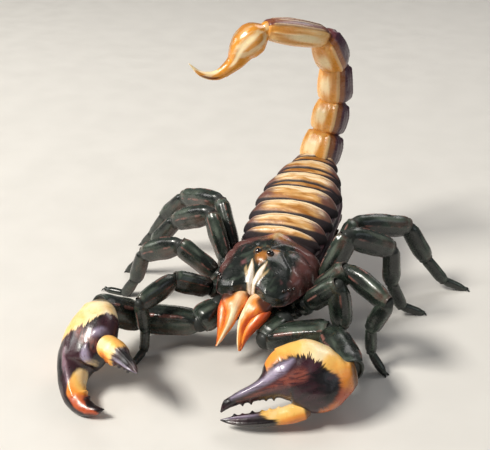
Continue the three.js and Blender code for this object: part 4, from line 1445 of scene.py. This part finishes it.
def clawHand(side):
    shape = claw[side]
    line = through(*[(*point, 0) for point in shape["palm"]], *fingerPath(shape))
    knots = np.array(claw["knots"])
    sizes = [smoothRows(shape[key], knots)[:, 0] for key in ("right", "left", "above", "above")]
    rows = np.column_stack([knots / claw["handEnd"], *sizes]) * [1, 1, 1, 1, 0.92]
    shell = Shell(line, rows.tolist(), 210, 136, box=2.08, **rounded(0.8, 0.15))
    x, y, z = np.moveaxis(shell.base, 2, 0)
    along = shell.t * claw["handEnd"]
    finger, top = rise(along, 3.6, 4.8), rise(np.sin(shell.angle), -0.1, 0.35)
    shell.lift(0.25 * ripple(shell.base, 9, 61) * (1 - finger) + 0.07 * ripple(shell.base, 3, 62))
    firstTooth = 4.6 if side > 0 else 6.8
    inner = shell.stripe(180, 20) * rise(along, firstTooth, firstTooth + 0.8)
    inner = inner * (1 - rise(along, 9.4, 10.6))
    shell.lift(inner * bite(along, 0.5 + 0.35 * np.sin(along * 5.1) + 0.25 * np.sin(along * 2.3 + 1), 1.15))
    shell.fields.update(leftPalmFields(x, y, along) if side > 0 else rightPalmFields(x, y, z))
    shell.fields["ridge"] *= top
    shell.fields["russet"] *= top
    shell.lift(0.35 * shell.fields["ridge"])
    shell.fields["shade"] = bell(along, 0, 0.25)
    return shell


def clawFinger(side):
    shape = claw[side]["moving"]
    path = fingerPath(shape)
    line = through(path[0] - (path[1] - path[0]) * 0.8, *path)
    rows = [[k / claw["fingerEnd"], width, 0.93 * width] for k, width in claw["finger"][side]]
    shell = Shell(line, rows, 130, 92, box=2.2, **rounded(0.9, 0.12))
    along = shell.t * claw["fingerEnd"]
    for degrees, height in ((50, 0.3), (120, 0.22), (240, 0.2), (300, 0.2)):
        shell.lift(height * shell.stripe(degrees, 11) * rise(along, 2.5, 4.5) * (1 - rise(along, 7.5, 8.8)))
    inner = shell.stripe(0, 22) * rise(along, 2.4, 3.2) * (1 - rise(along, 7.6, 8.6))
    shell.lift(inner * bite(along, 0.5 + 0.4 * np.sin(along * 4.3 + 2) + 0.2 * np.sin(along * 1.9), 1.05))
    shell.lift(0.06 * ripple(shell.base, 4, 71))
    right, up = np.cos(shell.angle), np.sin(shell.angle)
    limit = 3.3 + 1.5 * rise(right, -0.7, 0.7) if side > 0 else 4.6 + 0 * right
    shell.fields["mark"] = (along - limit) / 3
    shell.fields["streak"] = np.stack([2.0 * right, 2.0 * up, 0.12 * along], -1)
    shell.fields["feather"] = np.full(along.shape, 0.35)
    warm = 0.15 + 0.65 * rise(-right, -0.2, 0.9) * (1 - rise(along, 2, 4.5)) + 0.3 * rise(-up, -0.2, 0.8)
    # for the other finger: redder along its sides, most near the base
    redderSides = 0.35 * rise(-right, 0.1, 0.9) + 0.9 * rise(right, 0.25, 0.8) * bell(along, 2.9, 1.3)
    shell.fields["warm"] = warm if side > 0 else redderSides
    # ridge: a painted highlight along the finger's upper facet
    shell.fields["ridge"] = 0.8 * shell.stripe(50, 14) * rise(along, 4.5, 6)
    shell.fields["shade"] = bell(along, 0, 0.5)
    return shell


def claws():
    for side, word in sideWords.items():
        hand = Mould(f"clawHand_{word}").add(clawHand(side), clawPlaces[side])
        hand.make(clawShell, "claws", f"palp_{word}_manus")
        finger = Mould(f"clawFinger_{word}").add(clawFinger(side), clawPlaces[side])
        finger.make(clawShell, "claws", f"palp_{word}_finger")


claws()
print("stage: claws")

# Combs under the body

combs = {
    "length": 13,
    "teeth": 18,
    "at": (1.6, 4, -8.6),
    "turn": 25,
    "rows": [[0, 0.7, 0.5], [0.1, 1.1, 0.6], [0.8, 0.9, 0.5], [1, 0.4, 0.3]],
    "toothRows": [[0, 0.26, 0.26], [0.6, 0.33, 0.33], [1, 0.16, 0.2]],
}


combLook = {"brown": (0.42, 0.22, 0.09), "pale": (0.66, 0.44, 0.22)}


def combFinish():
    r = Recipe("paleComb", combLook)
    colour = r.paint("brown", r.noise(0.8, 3), 0.35, 0.65, "pale")
    rough = r.grain(2, 0.35, 0.5, 2)
    return r.finish(colour, rough, r.bumps((r.noise(2, 3), 0.0001, 0.3)), coat=0.1)


def combPieces():
    ivory = combFinish()
    for side, word in sideWords.items():
        heading = math.radians(combs["turn"] if side > 0 else 180 - combs["turn"])
        out, back, up = combs["at"]
        along, upright = np.array([math.cos(heading), math.sin(heading), 0]), np.array([0, 0, 1.0])
        basis = backPlace.vectors(np.array([np.cross(along, upright), along, upright])).T
        place = Place(backPlace.points([side * out, back, up]), basis)
        mould = Mould(f"comb_{word}")
        shaft = Shell(straight(combs["length"]), combs["rows"], 40, 20, **rounded(0.3, 0.3))
        shaft.lift(-0.15 * bell((shaft.t * 7) % 1, 0.5, 0.12))
        mould.add(shaft, place)
        for n in range(combs["teeth"]):
            y = (n + 0.8) / (combs["teeth"] + 0.6) * combs["length"]
            line = through([-side * 0.5, y, 0], [-side * 1.7, y + 0.1, -0.1], [-side * 2.9, y + 0.25, -0.1])
            tooth = Shell(line, combs["toothRows"], 10, 10, **rounded(0.1, 0.15, 3))
            mould.add(tooth, place)
        mould.make(ivory, "combs", f"pectine_{word}")


combPieces()
print("stage: combs")


# Stage, light and camera

floorLook = {"grey": (0.72, 0.70, 0.66), "light": (0.74, 0.72, 0.68)}


def stageFinish():
    r = Recipe("paleFloor", floorLook)
    coordinates = r.node("ShaderNodeTexCoord").outputs["Object"]
    grain = r.noise(60, 4, vector=coordinates)
    colour = r.paint("grey", grain, 0.3, 0.7, "light")
    return r.finish(colour, r.ramp(grain, 0.3, 0.7, (0.6, 0.75)), r.bumps((grain, 0.0002, 0.1)), coat=0.0)


floorHalf = 3.0  # metres


def makeStage():
    mesh = bpy.data.meshes.new("floor")
    corners = [(x * floorHalf, y * floorHalf, 0) for x, y in ((-1, -1), (1, -1), (1, 1), (-1, 1))]
    mesh.from_pydata(corners, [], [(0, 1, 2, 3)])
    mesh.materials.append(stageFinish())
    floor = bpy.data.objects.new("floor", mesh)
    bpy.context.scene.collection.objects.link(floor)


# distances and sizes of the camera and lights are metres, targets are the animal's own millimetres
camera = {
    "azimuth": 18.5,
    "elevation": 26,
    "distance": 0.228,
    "target": (-9.5, -2.0, 29.0),
    "lens": 58.78,
    "sensor": 36,
    "nearClip": 0.01,
}
lightTarget = (0.0, 0.0, 25.0)
lights = [  # azimuth, elevation, distance, size, power, colour
    ("key", -52, 48, 1.1, 0.42, 15.0, (1.0, 0.96, 0.89)),
    ("fill", 75, 25, 1.0, 0.7, 0.7, (0.85, 0.92, 1.0)),
    ("rim", 165, 48, 0.9, 0.45, 1.5, (1.0, 0.97, 0.95)),
    ("strip", -85, 22, 0.8, 0.3, 0.9, (1.0, 0.98, 0.96)),
]
studio = {"colour": (0.80, 0.82, 0.85, 1), "strength": 0.15}


def aimed(item, target, azimuth, elevation, distance):
    a, e = math.radians(azimuth), math.radians(elevation)
    back = Vector((math.sin(a) * math.cos(e), -math.cos(a) * math.cos(e), math.sin(e)))
    item.location = Vector(target) + back * distance
    item.rotation_mode = "QUATERNION"
    item.rotation_quaternion = (-back).to_track_quat("-Z", "Y")
    bpy.context.scene.collection.objects.link(item)


def makeCamera():
    data = bpy.data.cameras.new("camera")
    data.lens = camera["lens"]
    data.sensor_width = camera["sensor"]
    data.clip_start = camera["nearClip"]
    item = bpy.data.objects.new("camera", data)
    target = toScene(np.array(camera["target"]))
    aimed(item, target, camera["azimuth"], camera["elevation"], camera["distance"])
    bpy.context.scene.camera = item


def makeLights():
    target = toScene(np.array(lightTarget))
    for name, azimuth, elevation, distance, size, power, colour in lights:
        data = bpy.data.lights.new(name, "AREA")
        data.shape = "RECTANGLE"
        data.size, data.size_y = size, size * 0.6
        data.energy, data.color = power, colour
        aimed(bpy.data.objects.new(name, data), target, azimuth, elevation, distance)
    world = bpy.data.worlds.new("studio")
    world.use_nodes = True
    background = world.node_tree.nodes["Background"]
    background.inputs["Color"].default_value = studio["colour"]
    background.inputs["Strength"].default_value = studio["strength"]
    bpy.context.scene.world = world


makeStage()
makeCamera()
makeLights()
bpy.context.scene.view_settings.view_transform = "Standard"
print("stage: floor, light and camera")
